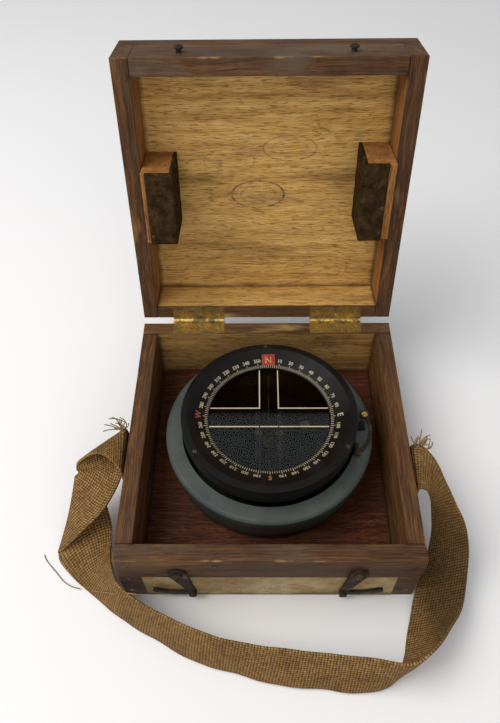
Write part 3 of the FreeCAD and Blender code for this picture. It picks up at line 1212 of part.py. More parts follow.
washer_hole = rod("washer_hole", (LEVER_X, LEVER_Y, SHOULDER), LEVER_SCREW + FIT,
                  SIZE["lever_lift"])
keep("lever_washer", cut("washer_cut", washer, [washer_hole]))
STOP_X = COMPASS_X + MOUTH + SIZE["stop_gap"]
STOP_Y = COMPASS_Y - SIZE["stop_front"]
keep("lever_stop", block("lever_stop_block", (STOP_X, STOP_Y, SHOULDER),
                         (STOP_X + SIZE["stop_width"], STOP_Y + SIZE["stop_length"],
                          SHOULDER + SIZE["stop_height"])))

# ---- carrying strap: webbing tacked to both sides and lying in a loop on the ground ------------
# Each pair is the loop's two edges at one station, from the left side round the front to the right.
WALL_X = (HALF_WIDTH + SIZE["strap_off"] + SIZE["strap_thick"] / 2).value
LOOP_EDGES = [
    ((-113.5, -4, 59), (-112.5, -42, 58)),
    ((-121, -5, 60), (-117, -42.5, 58)),
    ((-133, -7.5, 57), (-120.5, -43, 54)),
    ((-145, -12.5, 51), (-123.5, -44, 48)),
    ((-154, -22, 41), (-126, -46.5, 41)),
    ((-159, -35, 29), (-127.5, -50, 33)),
    ((-162, -49, 18), (-127.5, -55, 24)),
    ((-164, -63, 8), (-127.5, -62, 15)),
    ((-163.5, -76, 3), (-126, -71, 10)),
    ((-158, -86.5, 2), (-122.5, -80, 13)),
    ((-148, -96, 2), (-118, -90, 22)),
    ((-136, -106, 2), (-115, -103, 31)),
    ((-122, -116, 2), (-108.5, -117, 35)),
    ((-110, -125.5, 2), (-97, -124, 36)),
    ((-91, -135, 2), (-82, -130, 38)),
    ((-72, -145, 2), (-65, -137, 37)),
    ((-49, -156, 2), (-44, -148, 38)),
    ((-21, -165, 2), (-16, -154, 37)),
    ((7, -171, 2), (12, -158, 36)),
    ((35, -174, 2), (38, -160, 36)),
    ((55, -176, 2), (58, -162, 36)),
    ((71, -175, 2), (75, -165, 37)),
    ((83, -171, 2), (86, -167, 38.5)),
    ((92, -164, 2), (97, -166, 38.5)),
    ((96, -155, 2), (108, -158, 37)),
    ((99, -143, 2.5), (122, -144, 32)),
    ((103, -127, 4), (136, -127, 24)),
    ((109, -108, 9), (144, -106, 23)),
    ((117, -91, 18), (146, -89, 35)),
    ((122, -73, 30), (144, -73, 46)),
    ((122, -59, 42), (138, -60, 53)),
    ((120.5, -53, 51), (133, -44, 57)),
    ((117.5, -51, 56.5), (127, -27, 60)),
    ((113, -50, 58), (118, -14, 60)),
]


def tab(side, way):
    """The strap's flat end on a box side: its two edges at the foot and at the top."""
    middle = STRAP_MIDDLE[side].value
    half = SIZE["strap_width"].value / 2
    ends = []
    for drop in (SIZE["strap_tab_low"], SIZE["strap_tab_high"]):
        height = (BASE_TOP - drop).value
        ends.append((FreeCAD.Vector(way * WALL_X, middle - way * half, height),
                     FreeCAD.Vector(way * WALL_X, middle + way * half, height)))
    return ends


def loop_point(x, y, z):
    """A point of the loop, moved out with the box's sides and front."""
    return FreeCAD.Vector(x * WALL_X / SIZE["drawn_half_width"].value,
                          y * HALF_DEPTH.value / SIZE["drawn_half_depth"].value, z)


def triangle(a, b, c):
    return Part.Face(Part.makePolygon([a, b, c, a]))


def strap_solid():
    """A closed ribbon through the stations, half the webbing's thickness to each side."""
    half = SIZE["strap_thick"].value / 2
    loop = [(loop_point(*first), loop_point(*second)) for first, second in LOOP_EDGES]
    pairs = tab("left", -1) + loop + list(reversed(tab("right", 1)))
    middles = [(first + second) * 0.5 for first, second in pairs]
    corners = []
    last = len(pairs) - 1
    for index, (first, second) in enumerate(pairs):
        along = middles[min(index + 1, last)] - middles[max(index - 1, 0)]
        across = second - first
        normal = along.cross(across).normalize() * half
        corners.append((first + normal, second + normal, second - normal, first - normal))
    faces = [triangle(corners[0][0], corners[0][1], corners[0][2]),
             triangle(corners[0][0], corners[0][2], corners[0][3]),
             triangle(corners[-1][2], corners[-1][1], corners[-1][0]),
             triangle(corners[-1][3], corners[-1][2], corners[-1][0])]
    for here, there in zip(corners, corners[1:]):
        for side in range(4):
            a, b = here[side], here[(side + 1) % 4]
            c, d = there[(side + 1) % 4], there[side]
            faces.append(triangle(a, c, b))
            faces.append(triangle(a, d, c))
    solid = Part.Solid(Part.Shell(faces))
    if solid.Volume < 0:
        solid.reverse()
    return solid


strap_shape = strap_solid()
strap_tack_solids = []
for side, way, inward, outward in (("left", -1, "+X", "-X"), ("right", 1, "-X", "+X")):
    outer_face = way * (HALF_WIDTH + SIZE["strap_off"] + SIZE["strap_thick"])
    reach = SIZE["strap_off"] + SIZE["strap_thick"] + SIZE["short_nail_length"]
    for number, (y, z) in enumerate(strap_tacks(side)):
        strap_tack_solids.append(joined(f"{side}_strap_tack_{number}", [
            rod(f"{side}_strap_shank_{number}", (outer_face, y, z), SIZE["nail_shank"], reach,
                inward),
            rod(f"{side}_strap_head_{number}", (outer_face, y, z), SIZE["strap_tack_head"],
                SIZE["strap_tack_thick"], outward),
        ]))
        start = FreeCAD.Vector((outer_face + way * LOOSE).value, y.value, z.value)
        hole_length = SIZE["strap_thick"].value + 2 * LOOSE.value
        strap_shape = strap_shape.cut(Part.makeCylinder(
            SIZE["nail_shank"].value + FIT.value, hole_length, start,
            FreeCAD.Vector(-way, 0, 0)))
strap = document.addObject("Part::Feature", "webbing")
strap.Shape = strap_shape
keep("carry_strap", strap)
keep("strap_tacks", group("strap_tack_group", strap_tack_solids))

# ---- check everything and write the sub-parts --------------------------------------------------
document.recompute()
faulty = [item.Name for item in document.Objects
          if "Invalid" in item.State or "Error" in item.State]
if faulty:
    raise RuntimeError("failed objects: " + ", ".join(faulty))
unsound = [label for label, thing in parts.items()
           if thing.Shape.isNull() or not thing.Shape.isValid() or not thing.Shape.Solids]
if unsound:
    raise RuntimeError("no valid solid: " + ", ".join(unsound))
os.makedirs("parts", exist_ok=True)
for label, thing in parts.items():
    thing.Shape.exportStep(os.path.join("parts", label + ".step"))
    print(f"{label}: {len(thing.Shape.Solids)} solid(s), {thing.Shape.Volume:.1f} mm3")
print(f"{len(parts)} sub-parts")
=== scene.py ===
# %% [markdown]
# # A grid-ring compass in its wooden carrying box
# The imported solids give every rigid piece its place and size. This lesson dresses them: stained pine
# boards, brass gone brown, black and grey paint, felt, paper and a woven carrying strap. Pieces whose
# look depends on soft or printed detail are built here as surfaces worked out with numpy.

# %% Load the solids
import json
import math

import bmesh
import bpy
import numpy as np
from mathutils import Matrix, Vector


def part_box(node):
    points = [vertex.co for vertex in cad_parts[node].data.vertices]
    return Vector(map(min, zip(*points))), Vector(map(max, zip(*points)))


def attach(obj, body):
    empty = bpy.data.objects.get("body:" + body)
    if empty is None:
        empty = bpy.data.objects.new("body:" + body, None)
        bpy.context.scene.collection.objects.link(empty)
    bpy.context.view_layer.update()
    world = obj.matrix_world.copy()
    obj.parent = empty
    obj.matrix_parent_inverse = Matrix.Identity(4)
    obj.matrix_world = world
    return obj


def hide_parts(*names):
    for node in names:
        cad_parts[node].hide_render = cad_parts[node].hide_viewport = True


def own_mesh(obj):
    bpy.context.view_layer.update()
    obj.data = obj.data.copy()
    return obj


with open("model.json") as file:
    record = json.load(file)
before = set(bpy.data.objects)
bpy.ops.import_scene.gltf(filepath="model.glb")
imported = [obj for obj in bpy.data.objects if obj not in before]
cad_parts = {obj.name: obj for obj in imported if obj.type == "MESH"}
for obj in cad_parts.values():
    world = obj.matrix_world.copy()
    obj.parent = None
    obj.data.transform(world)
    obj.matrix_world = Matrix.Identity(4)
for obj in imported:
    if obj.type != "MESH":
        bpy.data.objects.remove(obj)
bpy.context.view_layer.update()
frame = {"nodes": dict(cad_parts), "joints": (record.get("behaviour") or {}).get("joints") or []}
MM = 0.001

# %% [markdown]
# ## Sizes that several steps share
# They are read from the solids' own boxes, so the dressing follows the model. The lid is stored
# open: its hinge joint gives the axis, and the joint's range gives the angle that closes it.

# %% Read the shared sizes
front_low, front_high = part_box("base_front_board")
left_low, left_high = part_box("base_left_board")
HALF_WIDTH = front_high.x
HALF_DEPTH = -front_low.y
BOX_TOP = front_high.z
BOARD = left_high.x - left_low.x
dial_low, dial_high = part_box("grid_ring_scale")
DIAL_X = (dial_low.x + dial_high.x) / 2
DIAL_Y = (dial_low.y + dial_high.y) / 2
DIAL_TOP = dial_high.z
RING_RADIUS = (dial_high.x - dial_low.x) / 2
glass_low, glass_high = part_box("grid_cover_glass")
GLASS_SEAT = 1.9 * MM
WINDOW_RADIUS = (glass_high.x - glass_low.x) / 2 - GLASS_SEAT
hinge = next(joint for joint in frame["joints"] if joint["name"] == "lid_hinge")
HINGE_AXIS = Vector(hinge["pos_m"])
LID_ANGLE = math.radians(-hinge["range_deg"][0])
RIM_GAP = 0.3 * MM
LID_RIM = BOX_TOP + RIM_GAP
LID_HEIGHT = 44.0 * MM


def closed_points(name):
    """A lid solid's points, turned back to the closed lid."""
    mesh = frame["nodes"][name].data
    points = np.empty(len(mesh.vertices) * 3)
    mesh.vertices.foreach_get("co", points)
    turn = np.array(Matrix.Rotation(LID_ANGLE, 3, "X"))
    axis = np.array(HINGE_AXIS)
    return (points.reshape(-1, 3) - axis) @ turn.T + axis


def opened(points):
    """Points of the closed lid, turned to where the open lid stores them."""
    turn = np.array(Matrix.Rotation(-LID_ANGLE, 3, "X"))
    axis = np.array(HINGE_AXIS)
    return (points - axis) @ turn.T + axis


FLOOR_BOARD = (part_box("base_bottom_board")[1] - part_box("base_bottom_board")[0]).z
PANEL = float(np.ptp(closed_points("lid_top_wide_board")[:, 2]))
print(f"box {2 * HALF_WIDTH:.3f} x {2 * HALF_DEPTH:.3f} m")
print(f"lid open {math.degrees(LID_ANGLE):.1f} degrees")

# %% [markdown]
# ## Camera, light and floor
# A tall view from above the front edge, looking down about fifty degrees. One wide soft lamp stands
# for a window above and to the left, a weaker one fills the front, and the pale floor curves up into a
# backdrop. What the camera sees of floor and world keeps its own brightness, so the lamps can stay
# low and colours render about as they are written.

# %% Camera
def placed(name, data):
    """A new object that holds the data, linked to the scene."""
    made = bpy.data.objects.new(name, data)
    bpy.context.scene.collection.objects.link(made)
    return made


def camera_rotation(down, aside, roll):
    """Turn about Z, tip down from the horizon, then roll about the line of sight."""
    return (Matrix.Rotation(-aside, 4, "Z") @ Matrix.Rotation(math.pi / 2 - down, 4, "X")
            @ Matrix.Rotation(roll, 4, "Z"))


CAMERA_PLACE = Vector((-8.14, -279.48, 500.10)) * MM
CAMERA_TURN = np.radians((51.63, -1.03, -0.944))
CAMERA_LENS = 32.78
camera_data = bpy.data.cameras.new("camera")
camera = placed("camera", camera_data)
bpy.context.scene.camera = camera
camera_data.lens = CAMERA_LENS
camera_data.clip_start = 0.01
camera.matrix_world = Matrix.Translation(CAMERA_PLACE) @ camera_rotation(*map(float, CAMERA_TURN))
print("camera lens", camera_data.lens)


# %% [markdown]
# Node trees are long to write out, so a few short helpers do it: one adds a node and wires its
# sockets, one does arithmetic, and the others stretch coordinates, read noise and mix colours.

# %% Node helpers
def add(tree, kind, sockets=(), **settings):
    """Add a node; sockets pairs an input's name or number with a value or with an output to link."""
    node = tree.nodes.new(kind)
    for name, value in settings.items():
        setattr(node, name, value)
    for name, value in dict(sockets).items():
        if isinstance(value, bpy.types.NodeSocket):
            tree.links.new(value, node.inputs[name])
        else:
            node.inputs[name].default_value = value
    return node


def calc(tree, operation, *values):
    """One Math node."""
    return add(tree, "ShaderNodeMath", enumerate(values), operation=operation).outputs[0]


def times(tree, first, second):
    return calc(tree, "MULTIPLY", first, second)


def plus(tree, first, second):
    return calc(tree, "ADD", first, second)


def less(tree, first, second):
    """The first value less the second."""
    return calc(tree, "SUBTRACT", first, second)


def vector_calc(tree, operation, *values):
    """One Vector Math node."""
    return add(tree, "ShaderNodeVectorMath", enumerate(values), operation=operation).outputs[0]


def parts(tree, vector):
    """The X, Y and Z of a vector."""
    return add(tree, "ShaderNodeSeparateXYZ", {0: vector}).outputs


def stretch(tree, vector, x, y, z):
    """Multiply coordinates, so that a pattern runs long one way and fine the other."""
    return vector_calc(tree, "MULTIPLY", vector, (x, y, z))


def noise(tree, vector, scale, detail=3.0, roughness=0.55):
    """A cloud pattern from 0 to 1."""
    return add(tree, "ShaderNodeTexNoise", {"Vector": vector, "Scale": scale, "Detail": detail,
               "Roughness": roughness}).outputs[0]


def fade(tree, value, low, high, first=0.0, last=1.0):
    """A smooth step from first to last as value goes from low to high."""
    return add(tree, "ShaderNodeMapRange", {0: value, 1: low, 2: high, 3: first, 4: last},
               interpolation_type="SMOOTHSTEP").outputs[0]


def mix(tree, share, first, second):
    """Mix two colours."""
    first = (*first, 1.0) if isinstance(first, tuple) else first
    second = (*second, 1.0) if isinstance(second, tuple) else second
    return add(tree, "ShaderNodeMix", {0: share, 6: first, 7: second}, data_type="RGBA").outputs[2]


def ramp(tree, value, *stops):
    """Colours along a value, as (place, colour) stops."""
    node = add(tree, "ShaderNodeValToRGB", {0: value})
    elements = node.color_ramp.elements
    while len(elements) < len(stops):
        elements.new(1.0)
    for element, (where, colour) in zip(elements, stops):
        element.position = where
        element.color = (*colour, 1.0)
    return node.outputs[0]


def object_coordinates(tree):
    return add(tree, "ShaderNodeTexCoord").outputs["Object"]


def material(name):
    """A material with only its Principled shader and output; returns it with its tree and shader."""
    made = bpy.data.materials.new(name)
    made.use_nodes = True
    tree = made.node_tree
    tree.nodes.clear()
    shader = tree.nodes.new("ShaderNodeBsdfPrincipled")
    output = tree.nodes.new("ShaderNodeOutputMaterial")
    tree.links.new(shader.outputs[0], output.inputs["Surface"])
    return made, tree, shader


def wire(tree, shader, **sockets):
    """Give the shader its inputs; an underscore in a name stands for a space."""
    for name, value in sockets.items():
        socket = shader.inputs[name.replace("_", " ")]
        if isinstance(value, bpy.types.NodeSocket):
            tree.links.new(value, socket)
        elif isinstance(value, tuple) and len(value) == 3 and socket.type == "RGBA":
            socket.default_value = (*value, 1.0)
        else:
            socket.default_value = value


def bump(tree, height, depth, strength=1.0):
    """A normal from a height from 0 to 1 that stands for a depth in metres."""
    return add(tree, "ShaderNodeBump", {"Height": height, "Distance": depth,
               "Strength": strength}).outputs[0]


def new_group(name, inputs, outputs):
    """An empty shader node group with named sockets."""
    group = bpy.data.node_groups.new(name, "ShaderNodeTree")
    for label, kind, value in inputs:
        socket = group.interface.new_socket(name=label, in_out="INPUT", socket_type=kind)
        socket.default_value = value
    for label, kind in outputs:
        group.interface.new_socket(name=label, in_out="OUTPUT", socket_type=kind)
    return group, group.nodes.new("NodeGroupInput").outputs, group.nodes.new("NodeGroupOutput").inputs


def use_group(tree, group, **sockets):
    """Place a group; an underscore in a socket's name stands for a space."""
    node = tree.nodes.new("ShaderNodeGroup")
    node.node_tree = group
    for name, value in sockets.items():
        socket = node.inputs[name.replace("_", " ")]
        if isinstance(value, bpy.types.NodeSocket):
            tree.links.new(value, socket)
        else:
            socket.default_value = value
    return node.outputs


FLOAT, VECTOR = "NodeSocketFloat", "NodeSocketVector"
print("helpers ready")


# %% Lamps and world
def lamp(name, place, target, size, power, colour):
    """A square area lamp that faces a target."""
    data = bpy.data.lights.new(name, "AREA")
    data.size = size
    data.energy = power
    data.color = colour
    made = placed(name, data)
    made.location = place
    made.rotation_euler = (Vector(target) - Vector(place)).to_track_quat("-Z", "Y").to_euler()


lamp("window_lamp", (-0.75, -0.1, 1.25), (0, 0, 0.05), 1.0, 15.0, (1.0, 0.98, 0.95))
lamp("front_lamp", (0.25, -1.3, 1.0), (0, 0, 0.1), 1.2, 5.0, (1.0, 0.97, 0.92))

world = bpy.data.worlds.new("room")
bpy.context.scene.world = world
world.use_nodes = True
tree = world.node_tree
tree.nodes.clear()
rays = add(tree, "ShaderNodeLightPath")
seen = calc(tree, "MAXIMUM", rays.outputs["Is Camera Ray"],
            calc(tree, "MAXIMUM", rays.outputs["Is Glossy Ray"], rays.outputs["Is Transmission Ray"]))
sky = add(tree, "ShaderNodeBackground", {"Color": (0.95, 0.97, 1.0, 1.0), "Strength": 0.42})
shown = add(tree, "ShaderNodeBackground", {"Color": (0.78, 0.80, 0.83, 1.0), "Strength": 1.0})
both = add(tree, "ShaderNodeMixShader", {0: seen, 1: sky.outputs[0], 2: shown.outputs[0]})
tree.links.new(both.outputs[0], add(tree, "ShaderNodeOutputWorld").inputs[0])
bpy.context.scene.view_settings.view_transform = "Standard"
print("two lamps and a pale world")


# %% Mesh helpers
def mesh_object(name, points, faces, uv=None, smooth=True):
    """An object from points and faces; uv gives each point its place on the surface."""
    mesh = bpy.data.meshes.new(name)
    faces = faces if isinstance(faces, list) else faces.tolist()
    mesh.from_pydata(np.asarray(points, float).reshape(-1, 3).tolist(), [], faces)
    if uv is not None:
        layer = mesh.uv_layers.new(name="surface")
        corners = np.empty(len(mesh.loops), np.int32)
        mesh.loops.foreach_get("vertex_index", corners)
        layer.data.foreach_set("uv", np.asarray(uv, np.float32).reshape(-1, 2)[corners].ravel())
    mesh.polygons.foreach_set("use_smooth", np.full(len(mesh.polygons), smooth))
    mesh.update()
    return placed(name, mesh)


def outward(made):
    """Turn every face of a closed mesh outwards."""
    shape = bmesh.new()
    shape.from_mesh(made.data)
    bmesh.ops.recalc_face_normals(shape, faces=shape.faces)
    shape.to_mesh(made.data)
    shape.free()
    return made


def grid_faces(rows, columns, wrap=False):
    """Quads of a grid of points; with wrap the last column joins the first."""
    across = columns if wrap else columns - 1
    i, j = np.meshgrid(np.arange(rows - 1), np.arange(across), indexing="ij")
    k = (j + 1) % columns
    return np.stack([i * columns + j, i * columns + k, (i + 1) * columns + k,
                     (i + 1) * columns + j], -1).reshape(-1, 4)


def dress(thing, finish, body, *replaced, slot=None):
    """Give a new piece its material and its body, and hide the solids it stands for."""
    thing.data.materials.clear()
    thing.data.materials.append(finish)
    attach(thing, body)
    if replaced:
        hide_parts(*replaced)
    return thing


def paint(finish, *names):
    """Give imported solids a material."""
    for name in names:
        node = frame["nodes"][name]
        node.data.materials.clear()
        node.data.materials.append(finish)


print("mesh helpers ready")


# %% Floor and backdrop
def sweep_points(width, front, bend, radius, height, steps=24):
    """A flat floor, a quarter circle and a wall: the profile (y, z) carried along X."""
    turn = np.linspace(0, np.pi / 2, steps)
    y = np.concatenate([[front], bend + radius * np.sin(turn), [bend + radius]])
    z = np.concatenate([[0.0], radius - radius * np.cos(turn), [height]])
    x = np.array([-width, width])
    yy, xx = np.meshgrid(y, x, indexing="ij")
    zz = np.meshgrid(z, x, indexing="ij")[0]
    return np.stack([xx, yy, zz], -1), len(y)


points, rows = sweep_points(4.0, -4.0, 1.2, 0.8, 4.0)
floor = mesh_object("floor", points, grid_faces(rows, 2))
finish, tree, shader = material("pale_paper_floor")
wire(tree, shader, Base_Color=(0.90, 0.895, 0.90), Roughness=0.9)
rays = add(tree, "ShaderNodeLightPath")
glow = add(tree, "ShaderNodeEmission", {"Color": (0.78, 0.79, 0.81, 1.0), "Strength": 1.0})
seen = times(tree, calc(tree, "MAXIMUM", rays.outputs["Is Glossy Ray"],
 rays.outputs["Is Transmission Ray"]), 0.8)
both = add(tree, "ShaderNodeMixShader", {0: seen, 1: shader.outputs[0], 2: glow.outputs[0]})
tree.links.new(both.outputs[0], tree.nodes["Material Output"].inputs["Surface"])
floor.data.materials.append(finish)
print("floor made")

# %% [markdown]
# ## Wood
# The case is pine: bare and honey coloured inside the lid, stained and blackened outside, rubbed pale
# along its edges. Two groups serve every board. One draws straight grain from stretched noise: broad
# bands, fine fibres and short dark pores. The other measures how near a point lies to the case's
# outside, rim and edges, so one material can be dark outside, bare inside and worn at the corners.

# %% Grain group
grain_group, given, result = new_group("straight_grain", [("Vector", VECTOR, (0, 0, 0))],
    [("Bands", FLOAT), ("Fibres", FLOAT), ("Pores", FLOAT), ("Height", FLOAT)])
tree = grain_group
wander = noise(tree, stretch(tree, given["Vector"], 9, 9, 9), 1.0, 2.0)
shift = times(tree, wander, 0.012)
shift = add(tree, "ShaderNodeCombineXYZ", {1: shift, 2: shift}).outputs[0]
wavy = vector_calc(tree, "ADD", given["Vector"], shift)
bands = noise(tree, stretch(tree, wavy, 5, 170, 170), 1.0, 3.0, 0.6)
fibres = noise(tree, stretch(tree, wavy, 30, 1150, 1150), 1.0, 3.0, 0.7)
pores = noise(tree, stretch(tree, wavy, 120, 1200, 1200), 1.0, 1.0)
pores = fade(tree, pores, 0.58, 0.68)
height = plus(tree, times(tree, fibres, 0.6), times(tree, bands, 0.4))
height = less(tree, height, times(tree, pores, 0.6))
for label, value in (("Bands", bands), ("Fibres", fibres), ("Pores", pores), ("Height", height)):
    tree.links.new(value, result[label])
print("grain group:", len(tree.nodes), "nodes")

# %% Case wear group
# A point's distance to each pair of outer faces is half the size less its distance from the middle.
# It lies outside if the least of them is near nought, and on an edge if the second least is. Where two
# boards meet on the rim, the joint is a thin dark line. Long Sides is one where the side boards run the
# whole depth, and nought where the front and back boards run the whole width.
FACE_REACHED = (0.0004, 0.0009)
JOINT_LINE = (0.0001, 0.0006)
EDGE_WEAR = (-0.0013, -0.0002)
CORNER_REACH = (-0.0030, 0.0012)
wear_group, given, result = new_group("case_wear",
    [("Vector", VECTOR, (0, 0, 0)), ("Centre", VECTOR, (0, 0, 0)), ("Half", VECTOR, (1, 1, 1)),
     ("Closed Side", FLOAT, 1.0), ("Board", FLOAT, 0.0127), ("Panel", FLOAT, 0.009),
     ("Long Sides", FLOAT, 1.0)],
    [("Outside", FLOAT), ("Rim", FLOAT), ("Edge", FLOAT), ("Joint", FLOAT), ("Corner", FLOAT)])
tree = wear_group
local = vector_calc(tree, "SUBTRACT", given["Vector"], given["Centre"])
away = vector_calc(tree, "ABSOLUTE", local)
gx, gy, gz = parts(tree, vector_calc(tree, "SUBTRACT", given["Half"], away))
half_height = parts(tree, given["Half"])[2]
signed = times(tree, parts(tree, local)[2], given["Closed Side"])
to_closed = less(tree, half_height, signed)
to_rim = plus(tree, half_height, signed)
nearest = calc(tree, "MINIMUM", calc(tree, "MINIMUM", gx, gy), to_closed)
rim = fade(tree, to_rim, *FACE_REACHED, 1.0, 0.0)


def second_least(tree, a, b, c):
    """The middle one of three values."""
    return calc(tree, "MAXIMUM", calc(tree, "MINIMUM", a, b),
                calc(tree, "MINIMUM", calc(tree, "MAXIMUM", a, b), c))


def joint_line(tree, crossed, along):
    """Distance to the joint that lies one board in from a side, up to one board from the other."""
    off = calc(tree, "ABSOLUTE", less(tree, crossed, given["Board"]))
    past = calc(tree, "MAXIMUM", less(tree, along, given["Board"]), 0.0)
    return plus(tree, off, past)


short_sides = less(tree, 1.0, given["Long Sides"])
joint = plus(tree, times(tree, joint_line(tree, gx, gy), given["Long Sides"]),
             times(tree, joint_line(tree, gy, gx), short_sides))
joint = times(tree, fade(tree, joint, *JOINT_LINE, 1.0, 0.0), rim)
ragged = times(tree, noise(tree, given["Vector"], 210.0, 4.0), 0.0030)
edge = less(tree, second_least(tree, gx, gy, gz), ragged)
edge = fade(tree, edge, *EDGE_WEAR, 1.0, 0.0)
spots = fade(tree, noise(tree, given["Vector"], 26.0, 3.0), 0.50, 0.62)
# inside, a corner is where two of the distances to the boards' inner faces are small
walls = ((gx, given["Board"]), (gy, given["Board"]), (to_closed, given["Panel"]))
off = [calc(tree, "ABSOLUTE", less(tree, gap, wall)) for gap, wall in walls]
spread = times(tree, noise(tree, given["Vector"], 60.0, 4.0), 0.006)
corner = less(tree, second_least(tree, *off), spread)
for label, value in (("Outside", fade(tree, nearest, *FACE_REACHED, 1.0, 0.0)), ("Rim", rim),
                     ("Edge", times(tree, edge, spots)), ("Joint", joint),
                     ("Corner", fade(tree, corner, *CORNER_REACH, 1.0, 0.0))):
    tree.links.new(value, result[label])
print("wear group:", len(tree.nodes), "nodes")


# %% [markdown]
# Boards of the lower box lie square, but the lid is stored open, so its boards read their coordinates
# through a Mapping node that swings them shut again. A second Mapping node turns the grain to run
# along each board.

# %% Board materials
def closed_lid_coordinates(tree, vector):
    """Turn the open lid's coordinates back to the closed lid about the hinge axis."""
    turn = Matrix.Rotation(LID_ANGLE, 3, "X")
    shift = HINGE_AXIS - turn @ HINGE_AXIS
    return add(tree, "ShaderNodeMapping", {"Vector": vector, "Location": shift,
               "Rotation": (LID_ANGLE, 0, 0)}).outputs[0]


GRAIN_TURNS = {"x": (0, 0, 0), "y": (0, 0, math.pi / 2), "z": (0, math.pi / 2, 0)}
STAIN = ((0.014, 0.0055, 0.0024), (0.072, 0.029, 0.0095), (0.21, 0.098, 0.032))
WORN = (0.32, 0.175, 0.065)
DARK_BROWN = (0.022, 0.009, 0.004)


def board_material(name, in_lid, along, bare, grime=0.0, grey=0.2, seed=0.0, marks=(), stained=1.0):
    """Stained outside, bare inside. bare holds the inside's dark, mid and light tones; marks holds
    the centre, half axes and strength of each faint oval of old ink on the inside."""
    made, tree, shader = material(name)
    place = object_coordinates(tree)
    if in_lid:
        place = closed_lid_coordinates(tree, place)
    turned = add(tree, "ShaderNodeMapping", {"Vector": place, "Location": (seed, seed * 0.7, seed * 1.3),
                 "Rotation": GRAIN_TURNS[along]}).outputs[0]
    grain = use_group(tree, grain_group, Vector=turned)
    middle = LID_RIM + LID_HEIGHT / 2 if in_lid else BOX_TOP / 2
    half = LID_HEIGHT / 2 if in_lid else BOX_TOP / 2
    wear = use_group(tree, wear_group, Vector=place, Centre=(0, 0, middle),
                     Half=(HALF_WIDTH, HALF_DEPTH, half), Closed_Side=1.0 if in_lid else -1.0,
                     Board=BOARD, Panel=PANEL if in_lid else FLOOR_BOARD,
                     Long_Sides=1.0 if in_lid else 0.0)
    patches = noise(tree, place, 22.0, 4.0, 0.6)
    tone = plus(tree, times(tree, grain["Bands"], 0.42),
                times(tree, grain["Fibres"], 0.66))
    inside = ramp(tree, tone, (0.34, bare[0]), (0.52, bare[1]), (0.70, bare[2]))
    inside = mix(tree, times(tree, grain["Pores"], 0.8), inside, bare[0])
    for (x, y), (wide, deep), strength in marks:
        inside = mix(tree, ink_oval(tree, place, x, y, wide, deep, strength), inside,
                     (0.07, 0.05, 0.035))
    outside = ramp(tree, tone, (0.36, STAIN[0]), (0.54, STAIN[1]), (0.76, STAIN[2]))
    outside = mix(tree, fade(tree, patches, 0.4, 0.7, 0.0, grey), outside, (0.12, 0.088, 0.058))
    covered = calc(tree, "MAXIMUM", wear["Outside"], times(tree, wear["Rim"], 0.95))
    covered = times(tree, covered, stained)
    colour = mix(tree, covered, inside, outside)
    streaks = noise(tree, stretch(tree, turned, 14, 60, 60), 1.0, 5.0, 0.65)
    colour = mix(tree, fade(tree, streaks, 0.48, 0.75, 0.0, grime), colour, DARK_BROWN)
    rubbed = fade(tree, noise(tree, stretch(tree, turned, 10, 45, 45), 1.0, 4.0), 0.60, 0.74, 0.0, 0.55)
    colour = mix(tree, times(tree, rubbed, stained), colour, bare[2])
    # darker in the inner corners
    colour = mix(tree, times(tree, wear["Corner"], 0.6), colour, DARK_BROWN)
    colour = mix(tree, times(tree, wear["Joint"], 0.85), colour, (0.010, 0.005, 0.003))
    colour = mix(tree, times(tree, wear["Edge"], 0.85), colour, WORN)
    wire(tree, shader, Base_Color=colour, Specular_IOR_Level=0.22,
         Roughness=fade(tree, patches, 0.3, 0.7, 0.6, 0.85),
         Normal=bump(tree, grain["Height"], 0.0004, 0.8))
    return made


def ink_oval(tree, place, x, y, wide, deep, strength):
    """Mask of a broken oval line: the distance from its centre in half axes is near one."""
    flat = vector_calc(tree, "SUBTRACT", place, (x, y, 0))
    flat = stretch(tree, flat, 1 / wide, 1 / deep, 0)
    reach = add(tree, "ShaderNodeVectorMath", {0: flat}, operation="LENGTH").outputs["Value"]
    line = fade(tree, calc(tree, "ABSOLUTE", less(tree, reach, 1.0)), 0.02, 0.06, 1.0, 0.0)
    inner = fade(tree, calc(tree, "ABSOLUTE", less(tree, reach, 0.66)), 0.02, 0.07, 0.5, 0.0)
    broken = fade(tree, noise(tree, place, 300.0, 3.0), 0.35, 0.6, 0.15, strength)
    return times(tree, plus(tree, line, inner), broken)


HONEY = ((0.25, 0.115, 0.026), (0.56, 0.315, 0.085), (0.74, 0.48, 0.17))
AMBER = ((0.10, 0.034, 0.008), (0.30, 0.125, 0.030), (0.46, 0.23, 0.075))
PINE = ((0.13, 0.055, 0.014), (0.42, 0.225, 0.068), (0.60, 0.37, 0.13))
UMBER = ((0.022, 0.0075, 0.0025), (0.095, 0.036, 0.010), (0.25, 0.115, 0.034))
# painted shade: the box floor's bare tones are dark for the shade inside the box
FLOOR_TONES_WITH_SHADE = ((0.016, 0.004, 0.0015), (0.070, 0.018, 0.006), (0.17, 0.055, 0.016))
STAMPS = (((-7.3 * MM, 6.4 * MM), (21.3 * MM, 11.8 * MM), 0.85),
          ((17.8 * MM, -32.3 * MM), (21.0 * MM, 10.0 * MM), 0.45),
          ((-30.0 * MM, -22.0 * MM), (20.0 * MM, 10.0 * MM), 0.25))

